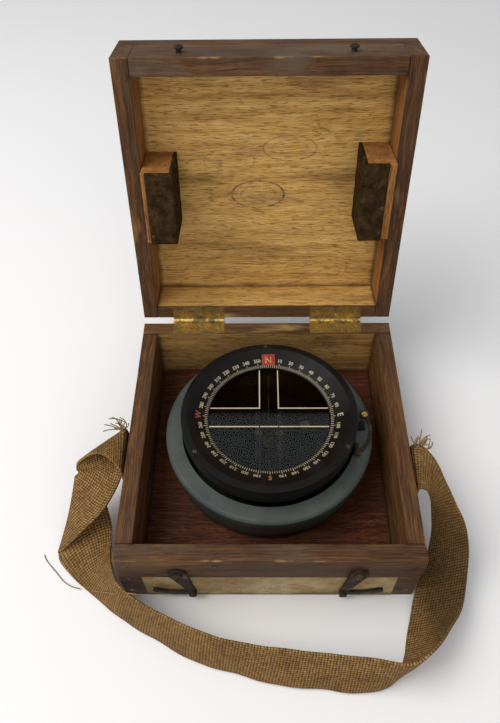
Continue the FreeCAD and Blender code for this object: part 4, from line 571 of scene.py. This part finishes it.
paint(board_material("lid_panel_pine", True, "x", HONEY, 0.5, marks=STAMPS), "lid_top_wide_board",
      "lid_top_narrow_board")
paint(board_material("lid_side_pine", True, "y", AMBER, 0.35, seed=0.4), "lid_left_rail",
      "lid_right_rail")
paint(board_material("lid_front_pine", True, "x", AMBER, 0.4, grey=0.75, seed=0.9), "lid_front_rail")
paint(board_material("lid_hinge_side_pine", True, "x", HONEY, 0.45, seed=1.1), "lid_back_rail")
paint(board_material("box_side_pine", False, "y", UMBER, 0.4, seed=1.3), "base_left_board",
      "base_right_board")
paint(board_material("box_front_pine", False, "x", UMBER, 0.35, grey=0.5, seed=1.7),
      "base_front_board")
paint(board_material("box_back_pine", False, "x", PINE, 0.6, seed=2.2), "base_back_board")
paint(board_material("box_bottom_pine_painted_shade", False, "x", FLOOR_TONES_WITH_SHADE, 0.6, seed=2.9), "base_bottom_board")
paint(board_material("block_beech", True, "y", AMBER, 0.3, seed=3.4, stained=0.0),
      "hold_down_blocks")
print("boards painted")


# %% [markdown]
# ## Metals, paint, rubber and glass
# Old brass is yellow only where it is rubbed; elsewhere it is brown or green. Paint chips and carries fine
# dust. All of these use noise for the tone and the roughness.

# %% Metal and paint materials
def aged_metal(name, bright, dull, share, roughness=(0.35, 0.6), scale=90.0):
    """Metal whose dull film covers a share of it."""
    made, tree, shader = material(name)
    place = object_coordinates(tree)
    film = fade(tree, noise(tree, place, scale, 5.0, 0.65), 0.62 - share * 0.5, 0.82 - share * 0.5)
    speck = noise(tree, place, scale * 9, 2.0)
    colour = mix(tree, film, bright, dull)
    colour = mix(tree, fade(tree, speck, 0.62, 0.75, 0.0, 0.5), colour, (0.03, 0.02, 0.012))
    wire(tree, shader, Base_Color=colour, Metallic=fade(tree, film, 0.0, 1.0, 1.0, 0.55),
         Roughness=fade(tree, film, 0.0, 1.0, *roughness),
         Normal=bump(tree, speck, 0.00012, 0.5))
    return made


def painted(name, colour, other, roughness=0.42, scale=60.0, chips=0.0, shine=0.4, relief=0.4,
            painted_shade_below=0.0):
    """Paint with faint clouding, fine dust and a share of chips; below a height it is darkened, a painted
    shade.
    """
    made, tree, shader = material(name)
    place = object_coordinates(tree)
    cloud = noise(tree, place, scale, 4.0, 0.6)
    speck = noise(tree, place, scale * 14, 2.0)
    tone = mix(tree, fade(tree, cloud, 0.3, 0.7), colour, other)
    chipped = fade(tree, speck, 0.74 - chips * 0.1, 0.78 - chips * 0.1, 0.0, min(1.0, chips * 4))
    tone = mix(tree, chipped, tone, (0.4, 0.4, 0.38))
    if painted_shade_below:
        # painted shade: the paint darkens towards the foot, below the given height
        low = fade(tree, parts(tree, place)[2], painted_shade_below * 0.6, painted_shade_below, 0.75, 0.0)
        tone = mix(tree, low, tone, (0.016, 0.014, 0.011))
    wire(tree, shader, Base_Color=tone, Specular_IOR_Level=shine,
         Roughness=fade(tree, cloud, 0.3, 0.7, roughness - 0.08, roughness + 0.12))
    if relief:
        wire(tree, shader, Normal=bump(tree, speck, 0.00006, relief))
    return made


hinge_brass = aged_metal("hinge_brass", (0.50, 0.34, 0.10), (0.15, 0.095, 0.03), 0.42, scale=140.0)
screw_brass = aged_metal("screw_brass", (0.55, 0.38, 0.12), (0.12, 0.08, 0.03), 0.35, scale=300.0)
hook_brass = aged_metal("hook_brass", (0.12, 0.072, 0.032), (0.030, 0.018, 0.010), 0.65, (0.5, 0.8))
nail_steel = aged_metal("nail_steel", (0.16, 0.13, 0.10), (0.05, 0.03, 0.02), 0.6, scale=400.0)
black_paint = painted("black_ring_paint", (0.0040, 0.0033, 0.0032), (0.0085, 0.0068, 0.006), 0.40,
                      shine=0.12)
drum_paint = painted("drum_grey_paint", (0.078, 0.089, 0.077), (0.047, 0.059, 0.055), 0.5, 26.0, 0.05,
                     shine=0.3, painted_shade_below=30 * MM)
cream_paint = painted("cream_line_paint", (0.62, 0.54, 0.36), (0.48, 0.41, 0.26), 0.6, 200.0)
orange_paint = painted("north_mark_paint", (0.32, 0.036, 0.019), (0.21, 0.024, 0.013), 0.7, 260.0)
wire_paint = painted("dulled_wire_paint", (0.055, 0.050, 0.040), (0.035, 0.031, 0.025), 0.7, 200.0)
rubber = painted("mount_rubber", (0.02, 0.02, 0.02), (0.03, 0.03, 0.03), 0.8, 120.0)
bowl_paint = painted("bowl_black_paint", (0.008, 0.007, 0.006), (0.012, 0.010, 0.008), 0.9,
                     relief=0.0, shine=0.05)

paint(hinge_brass, "hinge_left_base_leaf", "hinge_left_lid_leaf", "hinge_right_base_leaf",
      "hinge_right_lid_leaf", "expansion_bellows", "pivot_post", "jewel_cup", "magnet_carrier",
      "filler_plug")
paint(screw_brass, "hinge_base_screws", "hinge_lid_screws", "lever_screw", "lever_washer")
paint(hook_brass, "hook_left", "hook_right", "hook_pivot_screws", "lid_hook_studs", "lock_lever",
      "lever_brake_pin")
paint(nail_steel, "box_nails", "lid_nails", "felt_tacks", "strap_tacks", "hinge_pins",
      "bezel_screws", "grid_ring_screws", "mount_bolts", "bar_magnets", "pivot_pin")
paint(black_paint, "grid_ring_skirt", "grid_ring_scale", "bezel_ring", "lever_stop")
paint(bowl_paint, "compass_bowl", "magnet_hub")
paint(drum_paint, "compass_drum", "drum_base_plate")
paint(cream_paint, "grid_lines")
paint(orange_paint, "north_mark")
paint(wire_paint, "lubber_line", "damping_wires")
paint(rubber, "rubber_mounts", "glass_gasket")
print("metals and paints set")


# %% Glass
def clear_glass(name, tint, roughness):
    """Clear glass with a faint tint. Smears change its roughness; a low index keeps it from mirroring
    the pale room four times over, once at each face of the two panes."""
    made, tree, shader = material(name)
    place = object_coordinates(tree)
    smear = noise(tree, place, 35.0, 4.0, 0.6)
    wire(tree, shader, Base_Color=tint, IOR=1.22, Transmission_Weight=1.0,
         Roughness=fade(tree, smear, 0.58, 0.78, 0.0, roughness))
    return made


paint(clear_glass("cover_glass", (0.80, 0.82, 0.80), 0.02), "grid_cover_glass")
paint(clear_glass("sealed_glass", (0.55, 0.57, 0.55), 0.02), "bowl_glass")
print("glass set")


# %% [markdown]
# ## The dial
# The scale is printed on the ring's inner slope. Each mark is a flat quad laid on that cone, and the
# numerals are text turned into a mesh, then bent onto the cone: a letter's left-right place becomes
# an angle and its up-down place a distance up the slope.

# %% Cone of the scale
SLOPE_FALL = 6.6 * MM
FLAT_RIM = 5.3 * MM
WINDOW_TOP = DIAL_TOP - SLOPE_FALL
CONE_IN = WINDOW_RADIUS
CONE_OUT = RING_RADIUS - FLAT_RIM
SLOPE = (DIAL_TOP - WINDOW_TOP) / (CONE_OUT - CONE_IN)


def on_cone(radius, angle, lift):
    """A point on the slope at a plan radius and a clockwise angle from the north mark."""
    x = DIAL_X + radius * np.sin(angle)
    y = DIAL_Y + radius * np.cos(angle)
    z = WINDOW_TOP + (radius - CONE_IN) * SLOPE + lift
    return np.stack([x, y, z], -1)


def cone_bars(name, angles, inner, outer, width, lift):
    """Quads along the slope, one for each angle, from inner to outer radius."""
    angles = np.asarray(angles, float)[:, None]
    half = width / 2
    radii = np.stack([inner, outer, outer, inner], -1) * np.ones_like(angles)
    side = np.array([-half, -half, half, half]) / radii
    points = on_cone(radii, angles + side, lift)
    faces = np.arange(angles.size * 4).reshape(-1, 4)
    return mesh_object(name, points, faces, smooth=False)


TICK_START = 0.4 * MM
LONG_TICK_END = 3.8 * MM
SHORT_TICK_END = 2.6 * MM
TICK_WIDTH = 0.46 * MM
INK_LIFT = 0.06 * MM
degrees = np.arange(0, 360, 2)
tick_ink = painted("tick_ink", (0.52, 0.46, 0.31), (0.34, 0.29, 0.18), 0.6, 300.0)
count = len(degrees)
inner = np.full(count, CONE_IN + TICK_START)
outer = CONE_IN + np.where(degrees % 10 == 0, LONG_TICK_END, SHORT_TICK_END)
ticks = cone_bars("degree_ticks", np.radians(degrees), inner, outer, TICK_WIDTH, INK_LIFT)
dress(ticks, tick_ink, "grid_ring", slot="cream_paint")
print("ticks:", count)


# %% Numerals bent onto the cone
def text_mesh(words, size):
    """Points and faces of flat text, centred left to right on nought."""
    curve = bpy.data.curves.new("numeral", "FONT")
    curve.body = words
    curve.size = size
    curve.align_x = "CENTER"
    curve.offset = size * 0.018
    curve.resolution_u = 2
    holder = placed("numeral", curve)
    bpy.context.view_layer.update()
    mesh = bpy.data.meshes.new_from_object(holder.evaluated_get(
        bpy.context.evaluated_depsgraph_get()))
    points = np.empty(len(mesh.vertices) * 3)
    mesh.vertices.foreach_get("co", points)
    faces = [list(face.vertices) for face in mesh.polygons]
    bpy.data.objects.remove(holder)
    bpy.data.meshes.remove(mesh)
    bpy.data.curves.remove(curve)
    return points.reshape(-1, 3), faces


def ring_text(name, entries, radius, finish, lift=0.07 * MM):
    """Text round the ring with its tops outwards; entries hold words, clockwise degrees and size."""
    all_points, all_faces, start = [], [], 0
    for words, angle, size in entries:
        flat, faces = text_mesh(words, size)
        rise = radius + flat[:, 1]
        turn = math.radians(angle) + flat[:, 0] / radius
        all_points.append(on_cone(rise, turn, lift))
        all_faces += [[corner + start for corner in face] for face in faces]
        start += len(flat)
    made = mesh_object(name, np.concatenate(all_points), all_faces, smooth=False)
    return dress(made, finish, "grid_ring", slot="cream_paint")


NUMERAL = 3.8 * MM
LETTER = 6.0 * MM
NORTH_LETTER = 7.0 * MM
NUMERAL_FOOT = CONE_IN + 4.9 * MM
LETTER_FOOT = CONE_IN + 5.4 * MM
MARK_LIFT = 0.45 * MM
entries = [(str(angle), angle, NUMERAL) for angle in range(10, 360, 10) if angle % 90]
ring_text("degree_numerals", entries, NUMERAL_FOOT, tick_ink)
rust_ink = painted("rust_letter_paint", (0.34, 0.075, 0.03), (0.25, 0.05, 0.02), 0.6, 300.0)
amber_ink = painted("amber_letter_paint", (0.42, 0.19, 0.04), (0.30, 0.13, 0.03), 0.6, 300.0)
for name, word, angle, ink in (("east_letter", "E", 90, tick_ink),
                               ("south_letter", "S", 180, amber_ink),
                               ("west_letter", "W", 270, rust_ink)):
    ring_text(name, [(word, angle, LETTER)], LETTER_FOOT, ink)
north_ink = painted("north_letter_paint", (0.58, 0.25, 0.13), (0.40, 0.12, 0.06), 0.6, 300.0)
north_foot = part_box("north_mark")[0].y - DIAL_Y + 1.6 * MM
ring_text("north_letter", [("N", 0, NORTH_LETTER)], north_foot, north_ink, lift=MARK_LIFT)
print("numerals:", len(entries))


# %% Dark lines below the bar
line_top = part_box("grid_lines")[1].z
LINE_GAP = 7.5 * MM
LINE_HALF = 0.45 * MM
BAR_Y = DIAL_Y - LINE_GAP


def dark_lines():
    """Two flat strips, left and right of the middle, from the lower bar to the window's edge."""
    reach = math.sqrt((WINDOW_RADIUS - 0.5 * MM) ** 2 - LINE_GAP ** 2)
    y = np.array([DIAL_Y - reach, DIAL_Y - reach, BAR_Y, BAR_Y])
    z = np.full(4, line_top + 0.05 * MM)
    points = [np.stack([DIAL_X + aside + LINE_HALF * np.array([-1, 1, 1, -1]), y, z], -1)
              for aside in (-LINE_GAP, LINE_GAP)]
    return mesh_object("dark_grid_lines", points, np.arange(8).reshape(-1, 4), smooth=False)


dark_ink = painted("dark_line_paint", (0.006, 0.005, 0.004), (0.010, 0.008, 0.007), 0.7, 200.0)
dress(dark_lines(), dark_ink, "grid_ring", slot="black_paint")
print("dark lines at", round(line_top, 4))

# %% [markdown]
# ## The paper label
# Old paper goes brown from its edges and from damp. The label keeps its solid; only its material is
# new: cream where it is cleanest, tan and rust where it is stained, and worn through to wood in spots.

# %% Label material
label, tree, shader = material("stained_label_paper")
place = object_coordinates(tree)
label_low, label_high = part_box("paper_label")
blotch = noise(tree, place, 32.0, 5.0, 0.65)
rust = noise(tree, stretch(tree, place, 55, 20, 130), 1.0, 4.0, 0.7)
fibre = noise(tree, stretch(tree, place, 500, 500, 1400), 1.0, 3.0, 0.6)
colour = ramp(tree, blotch, (0.3, (0.27, 0.175, 0.078)), (0.5, (0.44, 0.33, 0.16)),
              (0.7, (0.56, 0.46, 0.27)))
colour = mix(tree, fade(tree, rust, 0.52, 0.66, 0.0, 0.75), colour, (0.36, 0.115, 0.028))
height = plus(tree, parts(tree, place)[2], times(tree, blotch, 0.02))
low_edge = fade(tree, height, label_low.z + 0.008, label_low.z + 0.018, 0.8, 0.0)
colour = mix(tree, low_edge, colour, (0.085, 0.050, 0.024))
colour = mix(tree, fade(tree, fibre, 0.58, 0.72, 0.0, 0.6), colour, (0.10, 0.055, 0.025))
wire(tree, shader, Base_Color=colour, Roughness=fade(tree, blotch, 0.3, 0.7, 0.75, 0.95),
     Specular_IOR_Level=0.2, Normal=bump(tree, fibre, 0.0001, 0.5))
paint(label, "paper_label")
print("label", [round(v, 4) for v in label_high - label_low])


# %% [markdown]
# ## The felt pads
# Each block in the lid wears a strip of thick felt over its face and its inner side. A strip is drawn
# as a path across the block, with a round bend at the corner, and carried along the block. Its outer
# skin follows a crown: full in the middle, lower towards both ends, with the slow waves of old felt.

# %% Felt pads
FELT_SKIN = 2.6 * MM
FELT_BEND = 2.5 * MM
FACE_COLUMNS, CORNER_COLUMNS, SIDE_COLUMNS = 10, 6, 8
FACE_SWELL, SIDE_SWELL, BASE_SWELL = 0.95, 0.75, -0.8


def felt_pad(name, solid, side):
    """A bent strip between the solid's ends; its outer skin swells with (1 - (2t - 1)^4)."""
    low, high = solid.min(0), solid.max(0)
    outer, inner = (low[0], high[0]) if side < 0 else (high[0], low[0])
    toward = 1.0 if side < 0 else -1.0
    turn = np.linspace(0, np.pi / 2, CORNER_COLUMNS + 2)
    # the path runs inwards along the face, round the corner and up the inner side
    face_x = np.linspace(outer + toward * 0.6 * MM, inner - toward * FELT_BEND, FACE_COLUMNS)
    corner_x = inner - toward * FELT_BEND * (1 - np.sin(turn))
    corner_z = low[2] + FELT_BEND * (1 - np.cos(turn))
    side_z = np.linspace(low[2] + FELT_BEND, high[2] - 0.5 * MM, SIDE_COLUMNS)
    x = np.concatenate([face_x, corner_x[1:-1], np.full(SIDE_COLUMNS, inner)])
    z = np.concatenate([np.full(FACE_COLUMNS, low[2]), corner_z[1:-1], side_z])
    normal_x = np.concatenate([np.zeros(FACE_COLUMNS), np.sin(turn[1:-1]), np.ones(SIDE_COLUMNS)]) * toward
    normal_z = np.concatenate([-np.ones(FACE_COLUMNS), -np.cos(turn[1:-1]), np.zeros(SIDE_COLUMNS)])
    t = np.linspace(0, 1, 57)
    y = low[1] + (high[1] - low[1]) * t
    crown = 1 - np.abs(2 * t - 1) ** 4
    wave = 0.5 * np.sin(t * 23 + side)[:, None] * np.cos(np.linspace(0, 9, len(x)))[None]
    s = np.linspace(0, 1, len(x))
    full = np.concatenate([np.full(FACE_COLUMNS, FACE_SWELL),
                           np.linspace(FACE_SWELL, SIDE_SWELL, CORNER_COLUMNS),
                           np.full(SIDE_COLUMNS, SIDE_SWELL)])
    swell = (BASE_SWELL + full * crown[:, None] * (1 - (2 * s - 1) ** 6)[None] + 0.2 * wave) * MM
    points = np.stack(np.broadcast_arrays(x + normal_x * swell, y[:, None], z + normal_z * swell), -1)
    back = points - FELT_SKIN * np.stack(np.broadcast_arrays(normal_x, 0 * y[:, None], normal_z), -1)
    return closed_strip(name, opened(points), opened(back))


def closed_strip(name, front, back):
    """Join a front and a back grid of the same shape round their edge into one closed mesh."""
    rows, columns = front.shape[:2]
    faces = grid_faces(rows, columns)
    count = rows * columns
    ring = np.concatenate([np.arange(columns), np.arange(1, rows) * columns + columns - 1,
                           (rows - 1) * columns + np.arange(columns - 2, -1, -1),
                           np.arange(rows - 2, 0, -1) * columns])
    after = np.roll(ring, -1)
    wall = np.stack([ring, after, after + count, ring + count], -1)
    points = np.concatenate([front.reshape(-1, 3), back.reshape(-1, 3)])
    return outward(mesh_object(name, points, np.concatenate([faces, faces[:, ::-1] + count, wall])))


felt, tree, shader = material("old_brown_felt")
place = object_coordinates(tree)
nap = noise(tree, place, 900.0, 3.0, 0.7)
clump = noise(tree, place, 160.0, 4.0, 0.65)
colour = ramp(tree, clump, (0.3, (0.014, 0.0075, 0.0028)), (0.5, (0.036, 0.021, 0.008)),
              (0.7, (0.070, 0.042, 0.017)))
colour = mix(tree, fade(tree, nap, 0.64, 0.76, 0.0, 0.4), colour, (0.11, 0.075, 0.035))
wire(tree, shader, Base_Color=colour, Roughness=fade(tree, nap, 0.3, 0.7, 0.9, 1.0),
     Specular_IOR_Level=0.04,
     Normal=bump(tree, plus(tree, clump, times(tree, nap, 0.6)), 0.0009, 0.9))
felt_solid = closed_points("block_felts")
# the lock lever presses the felt flat against the block when the lid is shut
for side, name in ((-1, "left_felt_pad"), (1, "right_felt_pad")):
    pad = felt_pad(name, felt_solid[felt_solid[:, 0] * side > 0], side)
    dress(pad, felt, "lid", "block_felts", slot="grey_felt")
    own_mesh(pad)
    print(name, len(pad.data.vertices), "points")

# %% [markdown]
# ## The carrying strap
# The webbing is one long sheet. Its two edges are drawn as pairs of points, station by station, and a
# smooth curve is carried through each edge. Rows of points between the edges make the surface; a small
# crown across the width and slow waves along it keep it from looking like sheet metal.
# Its own UV map counts metres across and along, so the weave keeps its size everywhere.

# %% Strap stations
# Up the left wall, a fan about the back edge, a fold, a fan about the front edge, a second fold, then
# the loop across the front and the plain arch at the right.
STRAP_EDGES = np.array([
    ((-111.2, 1.5, 24), (-111.2, -36.5, 24)), ((-111.2, 1.5, 40), (-111.2, -36.5, 40)),
    ((-111.4, 1.5, 53), (-111.4, -36.5, 54)), ((-112.5, 1, 60), (-112, -36.5, 62)),
    ((-114, 0, 61), (-117, -32, 66)), ((-115, -1, 61), (-124, -26.5, 66)),
    ((-116, -2, 60.5), (-132, -22.5, 62.5)), ((-117, -3, 60), (-141, -22, 56.5)),
    ((-117.5, -4, 58), (-148.5, -24.5, 50)), ((-116, -7, 54.5), (-149.5, -27.5, 46)),
    ((-113.5, -20, 51), (-148, -28.5, 45)), ((-113, -36, 51), (-147.5, -29, 45)),
    ((-120.5, -53, 45), (-148, -30, 44.5)), ((-129, -63, 38), (-149.5, -31, 44)),
    ((-142, -71, 28), (-150, -31.5, 43)), ((-159, -77, 9), (-151, -31, 41)),
    ((-164, -77.5, 4), (-149.5, -30.5, 37.5)), ((-163.5, -80, 2), (-140, -33, 33)),
    ((-162, -83, 2), (-130, -40.5, 29)), ((-159, -87, 2), (-126, -50, 25)),
    ((-154, -92.5, 2), (-122, -62, 19)), ((-147, -99, 2), (-121.5, -74, 14)),
    ((-139, -105, 2), (-120, -85, 17)), ((-130, -111.5, 2), (-116.5, -97, 26)),
    ((-120, -118, 2), (-110.5, -110.5, 34)), ((-110, -125.5, 2), (-100, -121.5, 37.5)),
    ((-93, -136, 2), (-84, -130, 38)), ((-72, -146.5, 2), (-66, -139, 37)),
    ((-49, -157, 2), (-45, -148, 38)), ((-21, -165, 2), (-16, -154, 37)),
    ((7, -171, 2), (12, -158, 36)), ((35, -174, 2), (38, -160, 36)),
    ((55, -176, 2), (58, -162, 36)), ((71, -175, 2), (75, -165, 37)),
    ((83, -171, 2), (86, -167, 38.5)), ((92, -164, 2), (97, -166, 38.5)),
    ((96, -155, 2), (108, -158, 37)), ((99, -143, 2.5), (122, -144, 32)),
    ((103, -127, 4), (136, -127, 24)), ((109, -108, 9), (144, -106, 23)),
    ((117, -91, 18), (146, -89, 35)), ((122, -73, 30), (144, -73, 46)),
    ((122, -59, 42), (138, -60, 53)), ((120.5, -53, 51), (133, -44, 57)),
    ((117.5, -51, 56.5), (127, -27, 60)), ((113, -50, 58), (118, -14, 60)),
    ((111.2, -50, 53), (111.2, -12, 53)), ((111.2, -50, 24), (111.2, -12, 24)),
], float) * MM
STRAP_WIDTH = 38 * MM
STRAP_THICKNESS = 1.9 * MM


def through_points(knots, steps):
    """A curve through the knots: on each span a cubic whose slopes are half the neighbours' gap."""
    before = np.concatenate([knots[:1], knots[:-1]])
    after = np.concatenate([knots[1:], knots[-1:]])
    slope = (after - before) / 2
    t = np.linspace(0, 1, steps, endpoint=False)[None, :, None]
    p, q, m, n = knots[:-1, None], knots[1:, None], slope[:-1, None], slope[1:, None]
    curve = ((2 * t**3 - 3 * t**2 + 1) * p + (t**3 - 2 * t**2 + t) * m
             + (3 * t**2 - 2 * t**3) * q + (t**3 - t**2) * n)
    return np.concatenate([curve.reshape(-1, 3), knots[-1:]])


SPAN_ROWS = 14
FOLD_STATION, STRAIGHT_STATION = 16, 24
FOLD_ROW = FOLD_STATION * SPAN_ROWS
STRAIGHT_ROW = STRAIGHT_STATION * SPAN_ROWS
first_edge = through_points(STRAP_EDGES[:, 0], SPAN_ROWS)
second_edge = through_points(STRAP_EDGES[:, 1], SPAN_ROWS)
middle = (first_edge + second_edge) / 2
run = np.concatenate([[0], np.cumsum(np.linalg.norm(np.diff(middle, axis=0), axis=1))])
drawn_width = np.linalg.norm(second_edge - first_edge, axis=1).mean()
print(f"strap: {run[-1]:.3f} m long, {drawn_width:.4f} m wide")


# %% Strap surface
def strap_surface(columns=33):
    """Straight rows between the edges, crowned and rippled along the surface's own normal."""
    across = np.linspace(0, 1, columns)
    rows = (first_edge[:, None] * (1 - across)[None, :, None]
            + second_edge[:, None] * across[None, :, None])
    along = np.gradient(middle, axis=0)
    normal = np.cross(along, second_edge - first_edge)
    normal /= np.linalg.norm(normal, axis=1, keepdims=True)
    free = np.clip(np.minimum(run, run[-1] - run) / 0.05 - 0.6, 0, 1)[:, None]
    crown = 0.9 * MM * (1 - (2 * across - 1) ** 2)[None]
    ripple = (0.5 * MM * np.sin(run * 95)[:, None] * np.cos(3 * across)[None]
              + 0.35 * MM * np.sin(run * 210 + 1)[:, None] * np.sin(5 * across + 2)[None])
    rows += normal[:, None] * ((crown + ripple) * free)[..., None]
    steps = np.linalg.norm(np.diff(rows, axis=0), axis=2)
    own_run = np.concatenate([np.zeros((1, columns)), np.cumsum(steps, axis=0)])
    # after the second fold the weave is counted back from where the webbing runs straight again
    between = slice(FOLD_ROW, STRAIGHT_ROW)
    length = np.repeat(run[:, None], columns, axis=1)
    length[:FOLD_ROW] = own_run[:FOLD_ROW]
    length[between] = run[STRAIGHT_ROW] - (own_run[STRAIGHT_ROW] - own_run[between])
    uv = np.stack(np.broadcast_arrays(across[None] * STRAP_WIDTH, length), -1)
    return rows, uv


rows, uv = strap_surface()
strap = mesh_object("webbing_strap", rows, grid_faces(*rows.shape[:2]), uv)
thickness = strap.modifiers.new("thickness", "SOLIDIFY")
thickness.thickness = STRAP_THICKNESS
thickness.offset = 0.0
print("strap points:", rows.shape)

# %% [markdown]
# The webbing is a plain weave of thick jute yarns. The weave group takes the UV map and gives a
# height: along every other yarn the warp is on top, and between them the weft. Each yarn is a rounded
# hump made with a sine, and noise makes the yarns uneven, as spun jute is.

# %% Weave group
weave_group, given, result = new_group("plain_weave",
    [("Vector", VECTOR, (0, 0, 0)), ("Pitch", FLOAT, 0.002)],
    [("Height", FLOAT), ("Warp", FLOAT), ("Yarn", FLOAT)])
tree = weave_group
jitter = noise(tree, given["Vector"], 260.0, 2.0)
scaled = add(tree, "ShaderNodeVectorMath", {0: given["Vector"],
             "Scale": calc(tree, "DIVIDE", 1.0, given["Pitch"])}, operation="SCALE").outputs[0]
u, v, _ = parts(tree, scaled)
u = plus(tree, u, times(tree, jitter, 0.55))
v = plus(tree, v, times(tree, jitter, 0.45))
parity = plus(tree, calc(tree, "FLOOR", u), calc(tree, "FLOOR", v))
parity = times(tree, calc(tree, "FRACT", times(tree, parity, 0.5)), 2.0)
hump_u = calc(tree, "SINE", times(tree, calc(tree, "FRACT", u), math.pi))
hump_v = calc(tree, "SINE", times(tree, calc(tree, "FRACT", v), math.pi))
warp = times(tree, parity, times(tree, hump_u,
  plus(tree, 0.55, times(tree, hump_v, 0.45))))
weft = times(tree, less(tree, 1.0, parity), times(tree, hump_v,
plus(tree, 0.55, times(tree, hump_u, 0.45))))
cell = add(tree, "ShaderNodeTexWhiteNoise", {0: vector_calc(tree, "FLOOR", scaled)}).outputs[0]
tree.links.new(plus(tree, warp, weft), result["Height"])
tree.links.new(parity, result["Warp"])
tree.links.new(cell, result["Yarn"])
print("weave group:", len(tree.nodes), "nodes")

# %% Jute material
jute, tree, shader = material("jute_webbing")
on_cloth = add(tree, "ShaderNodeUVMap", uv_map="surface").outputs[0]
place = object_coordinates(tree)
weave = use_group(tree, weave_group, Vector=on_cloth, Pitch=0.0021)
fluff = noise(tree, stretch(tree, on_cloth, 2200, 700, 1), 1.0, 2.0, 0.7)
soil = noise(tree, place, 28.0, 4.0, 0.65)
tone = plus(tree, times(tree, weave["Height"], 0.6),
            plus(tree, times(tree, weave["Yarn"], 0.22),
                 times(tree, fluff, 0.25)))
colour = ramp(tree, tone, (0.12, (0.058, 0.029, 0.009)), (0.5, (0.215, 0.112, 0.036)),
              (0.9, (0.46, 0.28, 0.105)))
# the stretch that hangs beside the right wall is darker: mostly painted shade, partly soiling
place_x, _, place_z = parts(tree, place)
shaded_and_soiled = times(tree, fade(tree, place_x, 0.100, 0.124), fade(tree, place_z, 0.060, 0.040))
colour = mix(tree, times(tree, shaded_and_soiled, 0.6), colour, (0.050, 0.022, 0.007))
colour = mix(tree, fade(tree, soil, 0.45, 0.75, 0.0, 0.6), colour, (0.085, 0.045, 0.018))
wire(tree, shader, Base_Color=colour, Roughness=fade(tree, fluff, 0.0, 1.0, 0.85, 0.97),
     Specular_IOR_Level=0.15,
     Normal=bump(tree, plus(tree, weave["Height"], times(tree, fluff, 0.35)),
                 0.0011, 1.0))
dress(strap, jute, "box_base", "carry_strap", slot="webbing")
print("strap dressed")

# %% [markdown]
# A few yarns have worked loose: one lies on the table beside the fold, one crosses the webbing, and the
# edges at both tabs are frayed. Each yarn is a thin tube: a small ring of points carried along a curve.

# %% Loose yarns
YARN_ROWS = 6
YARN_RADIUS = 0.42 * MM
SIDEWAYS = (0.31, 0.17, 0.93)


def yarn_tubes(name, routes, radius, sides=6):
    """Closed thin tubes; each ring stands across the curve, turned to a fixed direction."""
    ring_turn = np.linspace(0, 2 * np.pi, sides, endpoint=False)
    points, faces, start = [], [], 0
    for route in routes:
        line = through_points(np.asarray(route, float) * MM, YARN_ROWS)
        ahead = np.gradient(line, axis=0)
        aside = np.cross(ahead, SIDEWAYS)
        aside /= np.linalg.norm(aside, axis=1, keepdims=True)
        over = np.cross(aside, ahead)
        over /= np.linalg.norm(over, axis=1, keepdims=True)
        ring = (aside[:, None] * np.cos(ring_turn)[None, :, None]
                + over[:, None] * np.sin(ring_turn)[None, :, None])
        points.append((line[:, None] + radius * ring).reshape(-1, 3))
        faces += (grid_faces(len(line), sides, wrap=True) + start).tolist()
        faces.append((start + np.arange(sides)).tolist())
        last = start + (len(line) - 1) * sides
        faces.append((last + np.arange(sides)[::-1]).tolist())
        start += len(line) * sides
    return outward(mesh_object(name, np.concatenate(points), faces))


def frayed_ends(seed, count, start, spread, lean, length):
    """Short curved yarns from scattered roots; each bends once on its way up."""
    draw = np.random.default_rng(seed)
    roots = np.array(start) + draw.uniform(-1, 1, (count, 3)) * np.array(spread)
    aims = np.array(lean) + draw.normal(0, 0.45, (count, 3))
    aims /= np.linalg.norm(aims, axis=1, keepdims=True)
    reach = draw.uniform(0.35, 1.0, (count, 1)) * length
    curl = draw.normal(0, 0.22, (count, 3)) * reach
    return np.stack([roots, roots + aims * reach * 0.5 + curl, roots + aims * reach + curl * 0.3], 1)


table_yarn = [(-176, -78, 0.7), (-173, -83, 0.6), (-164, -92, 0.6), (-157, -99, 0.6), (-150, -103, 0.6),
              (-143, -105, 1.8)]
crossing_yarn = [(-134, -108, 6.5), (-126, -110.5, 11), (-117.5, -114, 19), (-110.5, -117.5, 27),
                 (-103.5, -119.5, 35), (-97, -121.5, 39.5), (-90, -122.5, 39)]
routes = [table_yarn, crossing_yarn]
routes += list(frayed_ends(4, 16, (-114, 0, 61.5), (2.5, 2, 1), (-0.7, 0.1, 0.9), 15))
routes += list(frayed_ends(9, 18, (116, -17, 60.5), (4, 3, 0.8), (0.6, 0.4, 0.7), 12))
yarns = yarn_tubes("loose_yarns", routes, YARN_RADIUS)
yarn_fibre, tree, shader = material("loose_jute_fibre")
fuzz = noise(tree, object_coordinates(tree), 900.0, 3.0, 0.7)
wire(tree, shader, Base_Color=ramp(tree, fuzz, (0.3, (0.16, 0.085, 0.03)), (0.7, (0.42, 0.27, 0.12))),
     Roughness=0.95, Specular_IOR_Level=0.1, Normal=bump(tree, fuzz, 0.0002, 0.7))
dress(yarns, yarn_fibre, "box_base", slot="webbing")
print("loose yarns:", len(routes))
